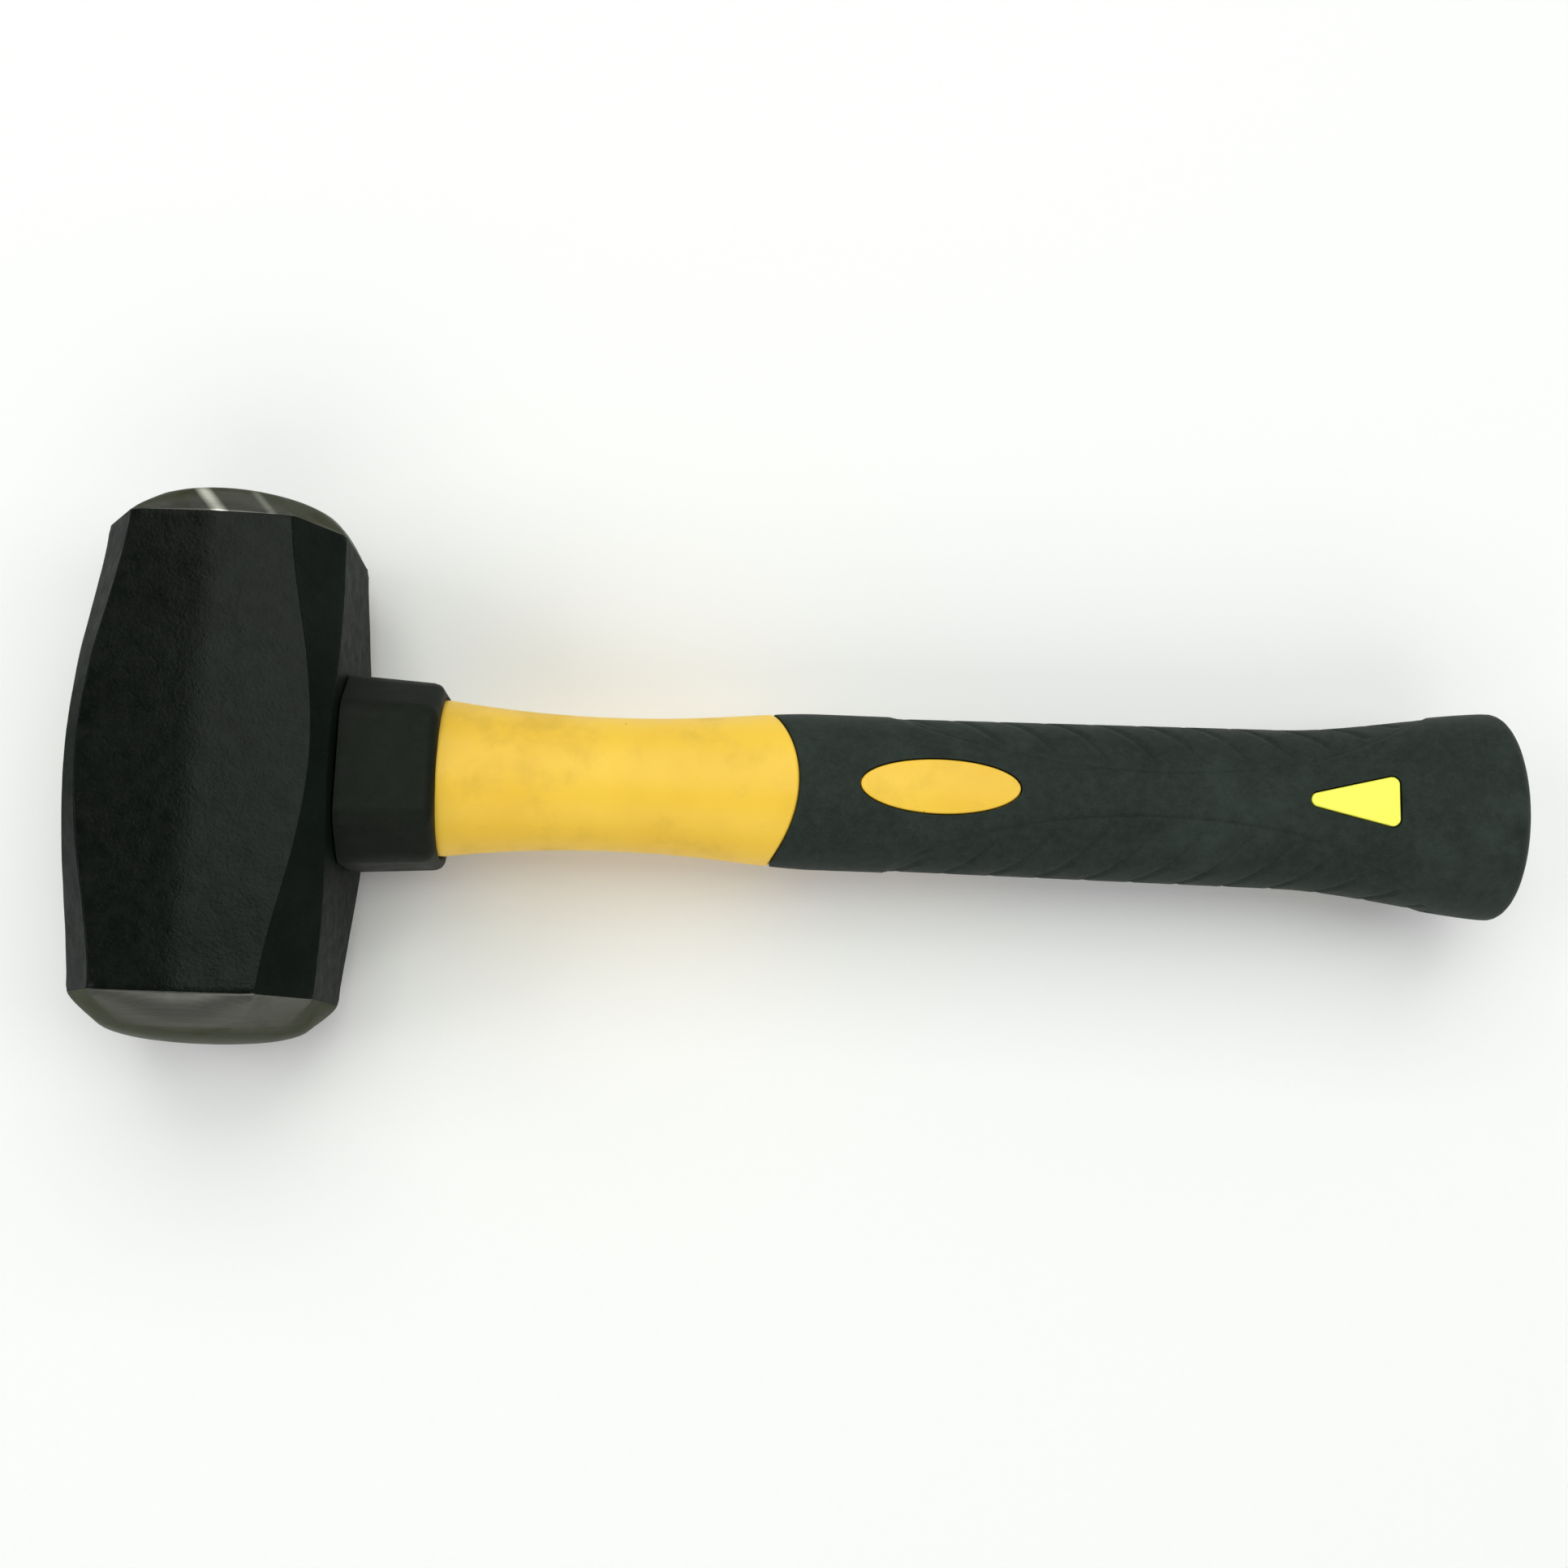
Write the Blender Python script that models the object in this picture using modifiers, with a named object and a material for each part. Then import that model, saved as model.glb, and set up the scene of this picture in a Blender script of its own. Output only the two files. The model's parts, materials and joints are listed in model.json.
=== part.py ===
"""Short handled sledgehammer, lying on one cheek of its head.

Metres. +X runs along the handle to the butt, +Y along the head's striking axis, +Z up out of the
upper cheek. The origin is the middle of the lower cheek, straight below the middle of the eye.
"""

import math

import bmesh
import bpy

# Fits
FIT_GAP = 0.0003  # clearance left between two pieces that touch

# Fibreglass rod, which everything on the handle is built up round
ROD_HEIGHT = 0.022  # along Y, as every height of the handle is
ROD_OVALITY = 0.754  # depth along Z over height, for the rod, the resin and the eye
ROD_SETBACK = 0.0007  # rod end, inside the far mouth of the eye
ROD_END_CHAMFER = 0.0006

# Eye: an oval hole along X that opens out towards the face away from the handle, filled with resin
RESIN_WALL = 0.00265  # at the handle side
EYE_FLARE = 0.0025  # how much higher the eye is at its far mouth
EYE_MOUTH_CHAMFER = 0.0008
RESIN_SETBACK = 0.0005  # resin, inside both mouths of the eye

# Handle outline
OVERALL_LENGTH = 0.2762
HANDLE_OVALITY = 0.82
NECK_WALL = 0.0018  # jacket over the rod at the waist
WAIST_DISTANCE = 0.050  # from the head's side face to the narrowest place
WAIST_RADIUS = 0.225
COLLAR_SEAT_RISE = 0.00215  # jacket under the neck guard, above the waist
NECK_BLEND = 0.0015  # softening between the neck's arc and the palm
JACKET_CORE_WALL = 0.0015  # jacket over the rod inside the grip
GRIP_WALL = 0.00225  # rubber over the jacket at the palm
PALM_DISTANCE = 0.106  # from the head's side face to where the grip starts to widen
PALM_TAPER = 0.010  # growth of the half height along the grip
FLARE_RISE = 0.0042  # what the flare adds on each side
FLARE_LENGTH = 0.0465
BUTT_ROUNDING = 0.006  # length of the rounded end
BUTT_FULLNESS = 2.4  # 2 is an ellipse, more is squarer
BUTT_WALL = 0.006  # rubber beyond the end of the jacket
JACKET_END_WALL = 0.004  # jacket beyond the end of the rod

# Edge between the jacket's neck and the grip, an arc that is furthest along at the middle of each face
GRIP_EDGE_DISTANCE = 0.0868  # from the head's side face to the arc's furthest point
GRIP_EDGE_BULGE = 0.0057  # how much further along the arc is at the middle than at the sides
CORE_OVERLAP = 0.006  # how far the jacket's core runs into the neck

# Windows in the grip
OVAL_DISTANCE = 0.1137  # head's side face to the middle of the oval
OVAL_LENGTH = 0.0305
OVAL_HEIGHT = 0.0105
TRIANGLE_FROM_BUTT = 0.0264  # butt end to the triangle's base
TRIANGLE_LENGTH = 0.0176
TRIANGLE_HEIGHT = 0.0096
TRIANGLE_CORNER_RADIUS = 0.0012

# Neck guard
GUARD_LENGTH = 0.019
GUARD_WALL = 0.00275  # over the jacket along Y
GUARD_CHEEK_WALL = 0.0033  # over the jacket along Z
GUARD_CORNER = 0.0075  # size of its corner flats
GUARD_TAPER = 0.0010  # how much each side draws in towards its outer end
GUARD_EDGE_RADIUS = 0.0012

# Head: an eight sided barrel along Y with a crowned, ground end on each side
BARREL_LENGTH = 0.0884  # between the edges of the two ground ends
END_HEIGHT = 0.0084  # each ground end, from the barrel's edge to the middle of the crown
HEAD_DEPTH = 0.0507  # cheek to cheek
HEAD_WIDTH_AT_EYE = 0.0479
HEAD_WIDTH_AT_ENDS = 0.0449
CORNER_AT_EYE = (0.0029, 0.0042)  # size of the corner flat along X and Z
CORNER_AT_ENDS = (0.0078, 0.0131)
DRAW_CURVE = 1.3  # 1 draws in straight from the flat round the eye, more draws in later
# Ground end, from the barrel outwards: (share of END_HEIGHT, share of the barrel's section, roundness)
END_RINGS = (
    (0.21, 0.965, 0.3),
    (0.50, 0.885, 0.7),
    (0.74, 0.78, 1.0),
    (0.905, 0.55, 1.0),
    (0.985, 0.25, 1.0),
)

# Fineness of the solids
TURN_STEPS = 36
ARC_POINTS = 16
OUTLINE_STATIONS = 26
BUTT_STATIONS = 6
BARREL_STATIONS = 6  # sections between the eye and each end of the barrel
POINTS_PER_FACET = 3
TURN_MERGE = 0.00001

# Worked out
EYE_HEIGHT = ROD_HEIGHT + 2.0 * (RESIN_WALL + 2.0 * FIT_GAP)
WAIST_HEIGHT = ROD_HEIGHT + 2.0 * (FIT_GAP + NECK_WALL)
COLLAR_SEAT_HEIGHT = WAIST_HEIGHT + 2.0 * COLLAR_SEAT_RISE
JACKET_CORE_HEIGHT = ROD_HEIGHT + 2.0 * (FIT_GAP + JACKET_CORE_WALL)
PALM_HEIGHT = JACKET_CORE_HEIGHT + 2.0 * (FIT_GAP + GRIP_WALL)
GUARD_HEIGHT = COLLAR_SEAT_HEIGHT + 2.0 * (FIT_GAP + GUARD_WALL)
GUARD_DEPTH = COLLAR_SEAT_HEIGHT * HANDLE_OVALITY + 2.0 * (FIT_GAP + GUARD_CHEEK_WALL)
EYE_LAND_LENGTH = GUARD_HEIGHT  # flat stretch of each side face, for the guard to seat on
HEAD_FACE = HEAD_WIDTH_AT_EYE / 2  # the side face that the handle leaves
AXIS_HEIGHT = HEAD_DEPTH / 2
BUTT_END = OVERALL_LENGTH - HEAD_FACE
NECK_START = HEAD_FACE + FIT_GAP
GRIP_EDGE = HEAD_FACE + GRIP_EDGE_DISTANCE
PASS = 0.002  # how far a cutter runs past what it cuts


# ---- Scene ----------------------------------------------------------------------------------------


def clear_scene():
    for obj in list(bpy.data.objects):
        bpy.data.objects.remove(obj, do_unlink=True)


def add_collection(name, hidden=False):
    collection = bpy.data.collections.new(name)
    collection.hide_render = hidden
    bpy.context.scene.collection.children.link(collection)
    return collection


def add_material(name, color, roughness, metallic=0.0):
    material = bpy.data.materials.new(name)
    material.use_nodes = True
    shader = material.node_tree.nodes["Principled BSDF"]
    shader.inputs["Base Color"].default_value = (*color, 1.0)
    shader.inputs["Roughness"].default_value = roughness
    shader.inputs["Metallic"].default_value = metallic
    return material


def add_handle_axis():
    """An empty in the middle of the eye, whose +Z runs along the handle and +Y along the head."""
    axis = bpy.data.objects.new("handle_axis", None)
    axis.location = (0.0, 0.0, AXIS_HEIGHT)
    axis.rotation_euler = (0.0, math.pi / 2, 0.0)
    axis.empty_display_size = HEAD_DEPTH
    bpy.context.scene.collection.objects.link(axis)
    return axis


def place(name, mesh, collection, parent=None):
    obj = bpy.data.objects.new(name, mesh)
    obj.parent = parent
    collection.objects.link(obj)
    if collection.hide_render:
        obj.hide_render = True
        obj.display_type = "WIRE"
    return obj


def finish(obj, material):
    obj.data.materials.clear()
    obj.data.materials.append(material)
    obj.data.shade_smooth()
    obj.data.set_sharp_from_angle(angle=math.radians(35))
    return obj


def boolean(obj, other, operation):
    modifier = obj.modifiers.new(f"{operation.lower()}_{other.name}", "BOOLEAN")
    modifier.operation = operation
    modifier.solver = "EXACT"
    modifier.object = other


# ---- Outlines -------------------------------------------------------------------------------------


def smooth_share(value, start, end):
    share = min(max((value - start) / (end - start), 0.0), 1.0)
    return share * share * (3.0 - 2.0 * share)


def smooth_minimum(first, second, blend):
    overlap = max(blend - abs(first - second), 0.0)
    return min(first, second) - overlap * overlap / (4.0 * blend)


def handle_half_height(x):
    """Half the handle's height along Y, at x along the handle."""
    off_waist = x - (HEAD_FACE + WAIST_DISTANCE)
    neck = WAIST_HEIGHT / 2 + WAIST_RADIUS - math.sqrt(max(WAIST_RADIUS**2 - off_waist**2, 0.0))
    palm = PALM_HEIGHT / 2 + PALM_TAPER * max(x - (HEAD_FACE + PALM_DISTANCE), 0.0)
    palm += FLARE_RISE * smooth_share(x, BUTT_END - FLARE_LENGTH, BUTT_END)
    if off_waist < 0.0:
        return min(neck, COLLAR_SEAT_HEIGHT / 2)
    return smooth_minimum(neck, palm, NECK_BLEND)


def handle_profile(grow=0.0):
    """(radius, x) down the handle's outer side from the butt to the head, grown by a clearance."""
    shoulder = BUTT_END - BUTT_ROUNDING
    profile = [(0.0, BUTT_END + grow)]
    for step in range(1, BUTT_STATIONS + 1):
        angle = math.pi / 2 * step / BUTT_STATIONS
        x = shoulder + BUTT_ROUNDING * math.cos(angle) ** (2.0 / BUTT_FULLNESS)
        share = math.sin(angle) ** (2.0 / BUTT_FULLNESS)
        profile.append((handle_half_height(x) * share + grow, x))
    for step in range(1, OUTLINE_STATIONS + 1):
        x = shoulder + (NECK_START - grow - shoulder) * step / OUTLINE_STATIONS
        profile.append((handle_half_height(x) + grow, x))
    return profile + [(0.0, NECK_START - grow)]


def rod_profile(grow=0.0, far_end=0.0):
    """(radius, x) down the rod's outer side. far_end moves the end in the eye outwards."""
    butt_end = BUTT_END - BUTT_WALL - JACKET_END_WALL + grow
    eye_end = ROD_SETBACK - HEAD_FACE - far_end
    radius = ROD_HEIGHT / 2 + grow
    corner = ROD_END_CHAMFER
    return [
        (0.0, butt_end),
        (radius - corner, butt_end),
        (radius, butt_end - corner),
        (radius, eye_end + corner),
        (radius - corner, eye_end),
        (0.0, eye_end),
    ]


def core_profile(grow=0.0):
    """(radius, x) down the jacket's core, from its end inside the grip to inside the neck."""
    end = BUTT_END - BUTT_WALL + grow
    radius = JACKET_CORE_HEIGHT / 2 + grow
    start = GRIP_EDGE - GRIP_EDGE_BULGE - CORE_OVERLAP
    return [(0.0, end), (radius, end), (radius, start), (0.0, start)]


def eye_half_height(x):
    """Half the eye's height along Y, which grows away from the handle."""
    return EYE_HEIGHT / 2 + EYE_FLARE / 2 * (HEAD_FACE - x) / HEAD_WIDTH_AT_EYE


def eye_profile():
    """(radius, x) down the eye from past the handle side to past the far mouth."""
    stations = []
    for side in (1.0, -1.0):
        mouth = side * HEAD_FACE
        chamfered = (eye_half_height(mouth) + EYE_MOUTH_CHAMFER, mouth)
        inner = (eye_half_height(mouth), mouth - side * EYE_MOUTH_CHAMFER)
        outer = (chamfered[0], mouth + side * PASS)
        stations += [outer, chamfered, inner] if side > 0 else [inner, chamfered, outer]
    return [(0.0, stations[0][1])] + stations + [(0.0, stations[-1][1])]


def resin_profile():
    """(radius, x) round the resin ring: down its outer side, then up its bore."""
    near = HEAD_FACE - RESIN_SETBACK - EYE_MOUTH_CHAMFER
    far = -near
    bore = ROD_HEIGHT / 2 + FIT_GAP
    return [
        (bore, near),
        (eye_half_height(near) - FIT_GAP, near),
        (eye_half_height(far) - FIT_GAP, far),
        (bore, far),
    ]


# ---- Shapes ---------------------------------------------------------------------------------------


def turned(name, profile, ovality, collection, axis, ring=False):
    """A profile of (radius, x) turned round the handle's axis, then flattened across the cheeks."""
    mesh = bpy.data.meshes.new(name)
    work = bmesh.new()
    points = [work.verts.new((radius, 0.0, x)) for radius, x in profile]
    for first, second in zip(points, points[1:] + points[:1] if ring else points[1:]):
        work.edges.new((first, second))
    work.to_mesh(mesh)
    work.free()
    obj = place(name, mesh, collection, axis)
    obj.scale = (ovality, 1.0, 1.0)
    screw = obj.modifiers.new("turn", "SCREW")
    screw.axis = "Z"
    screw.steps = TURN_STEPS
    screw.render_steps = TURN_STEPS
    screw.use_merge_vertices = True
    screw.merge_threshold = TURN_MERGE
    return obj


def prism(name, outlines, low, high, collection):
    """Outlines of (x, y) made solid between two heights along Z."""
    curve = bpy.data.curves.new(name, "CURVE")
    curve.dimensions = "2D"
    curve.fill_mode = "BOTH"
    curve.extrude = (high - low) / 2
    for outline in outlines:
        spline = curve.splines.new("POLY")
        spline.points.add(len(outline) - 1)
        for point, (x, y) in zip(spline.points, outline):
            point.co = (x, y, 0.0, 1.0)
        spline.use_cyclic_u = True
    guide = bpy.data.objects.new(name + "_guide", curve)
    guide.location.z = (high + low) / 2
    collection.objects.link(guide)
    bpy.context.view_layer.update()
    evaluated = guide.evaluated_get(bpy.context.evaluated_depsgraph_get())
    mesh = bpy.data.meshes.new_from_object(evaluated)
    work = bmesh.new()
    work.from_mesh(mesh)
    bmesh.ops.remove_doubles(work, verts=work.verts, dist=TURN_MERGE)
    bmesh.ops.recalc_face_normals(work, faces=work.faces)
    work.to_mesh(mesh)
    work.free()
    obj = place(name, mesh, collection)
    obj.matrix_world = guide.matrix_world
    bpy.data.objects.remove(guide, do_unlink=True)
    return obj


def arc(center, radius, start, end, points=ARC_POINTS):
    turns = [start + (end - start) * step / (points - 1) for step in range(points)]
    return [(center[0] + radius * math.cos(turn), center[1] + radius * math.sin(turn)) for turn in turns]


def neck_outline(grow=0.0):
    """The area of the jacket's neck seen on a cheek, up to the arc where the grip starts."""
    half = PALM_HEIGHT / 2
    radius = (half**2 + GRIP_EDGE_BULGE**2) / (2.0 * GRIP_EDGE_BULGE)
    center = (GRIP_EDGE - radius, 0.0)
    sweep = math.asin((half + PASS) / (radius + grow))
    curved = arc(center, radius + grow, -sweep, sweep)
    back = NECK_START - PASS
    return [(back, curved[0][1])] + curved + [(back, curved[-1][1])]


def oval_outline(grow=0.0):
    """A long window with round ends."""
    middle = HEAD_FACE + OVAL_DISTANCE
    across, along = OVAL_HEIGHT / 2 + grow, OVAL_LENGTH / 2 + grow
    turns = [2.0 * math.pi * step / (2 * ARC_POINTS) for step in range(2 * ARC_POINTS)]
    return [(middle + along * math.cos(turn), across * math.sin(turn)) for turn in turns]


def triangle_outline(grow=0.0):
    """A triangle with round corners that points at the head."""
    radius = TRIANGLE_CORNER_RADIUS
    base = BUTT_END - TRIANGLE_FROM_BUTT - radius
    tip = BUTT_END - TRIANGLE_FROM_BUTT - TRIANGLE_LENGTH
    rise = TRIANGLE_HEIGHT / 2 - radius
    slope = math.atan2(rise, TRIANGLE_LENGTH - 2.0 * radius)
    corners = (
        ((tip + radius, 0.0), math.pi / 2 + slope, 1.5 * math.pi - slope),
        ((base, -rise), -math.pi / 2 - slope, 0.0),
        ((base, rise), 0.0, math.pi / 2 + slope),
    )
    outline = []
    for center, start, end in corners:
        outline += arc(center, radius + grow, start, end, ARC_POINTS // 2)
    return outline


# ---- Head -----------------------------------------------------------------------------------------


def octagon(half_width, half_depth, corner):
    """Points round an oblong with cut corners, with the same number on every facet."""
    inner_width, inner_depth = half_width - corner[0], half_depth - corner[1]
    corners = [
        (half_width, -inner_depth),
        (half_width, inner_depth),
        (inner_width, half_depth),
        (-inner_width, half_depth),
        (-half_width, inner_depth),
        (-half_width, -inner_depth),
        (-inner_width, -half_depth),
        (inner_width, -half_depth),
    ]
    points = []
    for (x, z), (next_x, next_z) in zip(corners, corners[1:] + corners[:1]):
        for step in range(POINTS_PER_FACET):
            share = step / POINTS_PER_FACET
            points.append((x + (next_x - x) * share, z + (next_z - z) * share))
    return points


def barrel_section(y):
    """The barrel's section at y: flat sided around the eye, then drawing in to the ends."""
    off_land = max(abs(y) - EYE_LAND_LENGTH / 2, 0.0)
    draw = (off_land / (BARREL_LENGTH / 2 - EYE_LAND_LENGTH / 2)) ** DRAW_CURVE
    cut = smooth_share(abs(y), 0.0, BARREL_LENGTH / 2)
    width = HEAD_WIDTH_AT_EYE + (HEAD_WIDTH_AT_ENDS - HEAD_WIDTH_AT_EYE) * draw
    corner = [eye + (end - eye) * cut for eye, end in zip(CORNER_AT_EYE, CORNER_AT_ENDS)]
    return octagon(width / 2, HEAD_DEPTH / 2, corner)


def end_section(share, roundness):
    """The barrel's end section, shrunk to a share of its size and partly rounded to an oval."""
    points = []
    for x, z in octagon(HEAD_WIDTH_AT_ENDS / 2, HEAD_DEPTH / 2, CORNER_AT_ENDS):
        turn = math.atan2(z / HEAD_DEPTH, x / HEAD_WIDTH_AT_ENDS)
        oval = (HEAD_WIDTH_AT_ENDS / 2 * math.cos(turn), HEAD_DEPTH / 2 * math.sin(turn))
        points.append(tuple(share * (flat + (bow - flat) * roundness) for flat, bow in zip((x, z), oval)))
    return points


def head_sections():
    """(y, points) for every section from the -Y end to the +Y end."""
    half = BARREL_LENGTH / 2
    end = [(half + END_HEIGHT * rise, end_section(share, roundness)) for rise, share, roundness in END_RINGS]
    barrel = []
    for step in range(-BARREL_STATIONS, BARREL_STATIONS + 1):
        y = half * step / BARREL_STATIONS
        barrel.append((y, barrel_section(y)))
    return [(-y, points) for y, points in reversed(end)] + barrel + end


def make_head(collection, cutters, axis, material):
    """A loft through unlike sections, closed with a fan at each crown, with the eye cut through."""
    work = bmesh.new()
    rings = []
    for y, points in head_sections():
        rings.append([work.verts.new((x, y, AXIS_HEIGHT + z)) for x, z in points])
    count = len(rings[0])
    for ring, next_ring in zip(rings, rings[1:]):
        for k in range(count):
            after = (k + 1) % count
            work.faces.new((ring[k], next_ring[k], next_ring[after], ring[after]))
    crown = BARREL_LENGTH / 2 + END_HEIGHT
    for ring, side in ((rings[0], -1.0), (rings[-1], 1.0)):
        top = work.verts.new((0.0, side * crown, AXIS_HEIGHT))
        for k in range(count):
            work.faces.new((ring[k], ring[(k + 1) % count], top))
    bmesh.ops.recalc_face_normals(work, faces=work.faces)
    mesh = bpy.data.meshes.new("head")
    work.to_mesh(mesh)
    work.free()
    head = place("head", mesh, collection)
    boolean(head, turned("eye_cutter", eye_profile(), ROD_OVALITY, cutters, axis), "DIFFERENCE")
    return finish(head, material)


# ---- Handle ---------------------------------------------------------------------------------------


def make_core_rod(collection, axis, material):
    return finish(turned("core_rod", rod_profile(), ROD_OVALITY, collection, axis), material)


def make_epoxy_fill(collection, axis, material):
    fill = turned("epoxy_fill", resin_profile(), ROD_OVALITY, collection, axis, ring=True)
    return finish(fill, material)


def make_handle_jacket(collection, cutters, axis, material):
    """The visible neck and windows are cut out of the handle's outer shape and joined by the core."""
    jacket = turned("handle_jacket", handle_profile(), HANDLE_OVALITY, collection, axis)
    seen = prism("jacket_area", [neck_outline(), oval_outline()], 0.0, HEAD_DEPTH, cutters)
    core = turned("jacket_core", core_profile(), HANDLE_OVALITY, cutters, axis)
    bore = turned("rod_cutter", rod_profile(FIT_GAP, far_end=PASS), ROD_OVALITY, cutters, axis)
    boolean(jacket, seen, "INTERSECT")
    boolean(jacket, core, "UNION")
    boolean(jacket, bore, "DIFFERENCE")
    return finish(jacket, material)


def make_grip_sleeve(collection, cutters, axis, material):
    """The handle's outer shape, less everything of the jacket and the inlays, with a fit gap round them."""
    grip = turned("grip_sleeve", handle_profile(), HANDLE_OVALITY, collection, axis)
    areas = [neck_outline(FIT_GAP), oval_outline(FIT_GAP), triangle_outline(FIT_GAP)]
    windows = prism("window_cutter", areas, -PASS, HEAD_DEPTH + PASS, cutters)
    cavity = turned("core_cutter", core_profile(FIT_GAP), HANDLE_OVALITY, cutters, axis)
    boolean(grip, windows, "DIFFERENCE")
    boolean(grip, cavity, "DIFFERENCE")
    return finish(grip, material)


def make_triangle_inlay(name, low, high, collection, cutters, axis, material):
    """A plug from the jacket's core out to the grip's surface, on one face of the handle."""
    inlay = turned(name, handle_profile(), HANDLE_OVALITY, collection, axis)
    area = prism(name + "_area", [triangle_outline()], low, high, cutters)
    core = turned(name + "_core_cutter", core_profile(FIT_GAP), HANDLE_OVALITY, cutters, axis)
    boolean(inlay, area, "INTERSECT")
    boolean(inlay, core, "DIFFERENCE")
    return finish(inlay, material)


def make_neck_guard(collection, cutters, axis, material):
    """An eight sided collar that draws in towards its outer end, round the jacket."""
    work = bmesh.new()
    bmesh.ops.create_cube(work, size=1.0)
    bmesh.ops.scale(work, vec=(GUARD_LENGTH, GUARD_HEIGHT, GUARD_DEPTH), verts=work.verts)
    long_edges = [edge for edge in work.edges if abs(edge.verts[0].co.x - edge.verts[1].co.x) > PASS]
    bmesh.ops.bevel(
        work, geom=long_edges, offset=GUARD_CORNER, segments=1, profile=0.5, affect="EDGES", material=-1
    )
    outer = [vert for vert in work.verts if vert.co.x > 0.0]
    draw_in = (1.0, 1.0 - 2.0 * GUARD_TAPER / GUARD_HEIGHT, 1.0 - 2.0 * GUARD_TAPER / GUARD_DEPTH)
    bmesh.ops.scale(work, vec=draw_in, verts=outer)
    start = HEAD_FACE + FIT_GAP
    bmesh.ops.translate(work, vec=(start + GUARD_LENGTH / 2, 0.0, AXIS_HEIGHT), verts=work.verts)
    rim = [edge for edge in work.edges if all(vert in outer for vert in edge.verts)]
    bmesh.ops.bevel(
        work, geom=rim, offset=GUARD_EDGE_RADIUS, segments=3, profile=0.5, affect="EDGES", material=-1
    )
    mesh = bpy.data.meshes.new("neck_guard")
    work.to_mesh(mesh)
    work.free()
    guard = place("neck_guard", mesh, collection)
    bore = turned("guard_bore_cutter", handle_profile(FIT_GAP), HANDLE_OVALITY, cutters, axis)
    boolean(guard, bore, "DIFFERENCE")
    return finish(guard, material)


def main():
    clear_scene()
    hammer = add_collection("sledgehammer")
    cutters = add_collection("sledgehammer_cutters", hidden=True)
    axis = add_handle_axis()
    head_paint = add_material("head_paint", (0.030, 0.034, 0.032), 0.45, 0.3)
    fibreglass = add_material("fibreglass", (0.62, 0.56, 0.38), 0.4)
    resin = add_material("epoxy_resin", (0.10, 0.09, 0.07), 0.25)
    yellow = add_material("jacket_yellow", (1.0, 0.66, 0.09), 0.35)
    collar_rubber = add_material("guard_rubber", (0.035, 0.038, 0.036), 0.6)
    grip_rubber = add_material("grip_rubber", (0.028, 0.033, 0.030), 0.7)
    lemon = add_material("inlay_lemon", (1.0, 0.95, 0.07), 0.4)
    make_head(hammer, cutters, axis, head_paint)
    make_core_rod(hammer, axis, fibreglass)
    make_epoxy_fill(hammer, axis, resin)
    make_handle_jacket(hammer, cutters, axis, yellow)
    make_neck_guard(hammer, cutters, axis, collar_rubber)
    make_grip_sleeve(hammer, cutters, axis, grip_rubber)
    inlay_fit = (hammer, cutters, axis, lemon)
    make_triangle_inlay("triangle_inlay_front", AXIS_HEIGHT, HEAD_DEPTH, *inlay_fit)
    make_triangle_inlay("triangle_inlay_back", 0.0, AXIS_HEIGHT, *inlay_fit)


main()
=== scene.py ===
"""Short handled sledgehammer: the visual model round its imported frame.

Metres. +X runs along the handle to the butt, +Y along the head's striking axis, +Z up out of the
upper cheek. Each sub-assembly is a class that builds its own meshes and gives them their finish.
"""

from __future__ import annotations

import json
import logging
import math
from abc import ABC, abstractmethod
from collections.abc import Iterable, Sequence
from dataclasses import dataclass, field
from enum import Enum
from typing import Union

import bmesh
import bpy
from mathutils import Matrix, Vector, noise

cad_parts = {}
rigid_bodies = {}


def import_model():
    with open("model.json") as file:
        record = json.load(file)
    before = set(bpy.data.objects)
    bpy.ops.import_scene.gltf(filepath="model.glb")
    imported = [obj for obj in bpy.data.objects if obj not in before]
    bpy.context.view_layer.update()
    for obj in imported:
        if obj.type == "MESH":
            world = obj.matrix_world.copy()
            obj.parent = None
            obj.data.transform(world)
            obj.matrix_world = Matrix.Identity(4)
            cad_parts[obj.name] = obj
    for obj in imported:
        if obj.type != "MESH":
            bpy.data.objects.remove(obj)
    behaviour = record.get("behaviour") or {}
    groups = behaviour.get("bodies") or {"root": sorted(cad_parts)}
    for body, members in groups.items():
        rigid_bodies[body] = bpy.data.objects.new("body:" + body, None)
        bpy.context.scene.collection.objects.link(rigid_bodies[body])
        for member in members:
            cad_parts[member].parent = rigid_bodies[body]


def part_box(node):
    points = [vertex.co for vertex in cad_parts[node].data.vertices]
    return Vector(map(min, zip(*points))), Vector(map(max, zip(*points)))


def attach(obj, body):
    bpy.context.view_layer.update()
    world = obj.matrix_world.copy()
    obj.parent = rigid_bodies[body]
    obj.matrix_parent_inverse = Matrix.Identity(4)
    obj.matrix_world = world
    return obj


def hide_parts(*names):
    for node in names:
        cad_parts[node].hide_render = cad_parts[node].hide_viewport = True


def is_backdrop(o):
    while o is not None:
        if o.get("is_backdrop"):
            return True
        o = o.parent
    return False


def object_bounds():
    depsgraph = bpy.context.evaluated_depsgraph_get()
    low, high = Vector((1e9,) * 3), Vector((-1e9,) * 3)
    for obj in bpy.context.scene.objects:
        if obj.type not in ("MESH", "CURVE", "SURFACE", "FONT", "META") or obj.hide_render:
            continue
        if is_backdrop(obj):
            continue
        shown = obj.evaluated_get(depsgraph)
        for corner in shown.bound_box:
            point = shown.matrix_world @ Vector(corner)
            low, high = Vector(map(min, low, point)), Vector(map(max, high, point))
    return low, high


LOG = logging.getLogger("sledgehammer")

BODY = "root"
MERGE = 0.000004
FIT = 0.0003
# A point this near to a place is taken to be on it
NEAR = 0.0001
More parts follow.
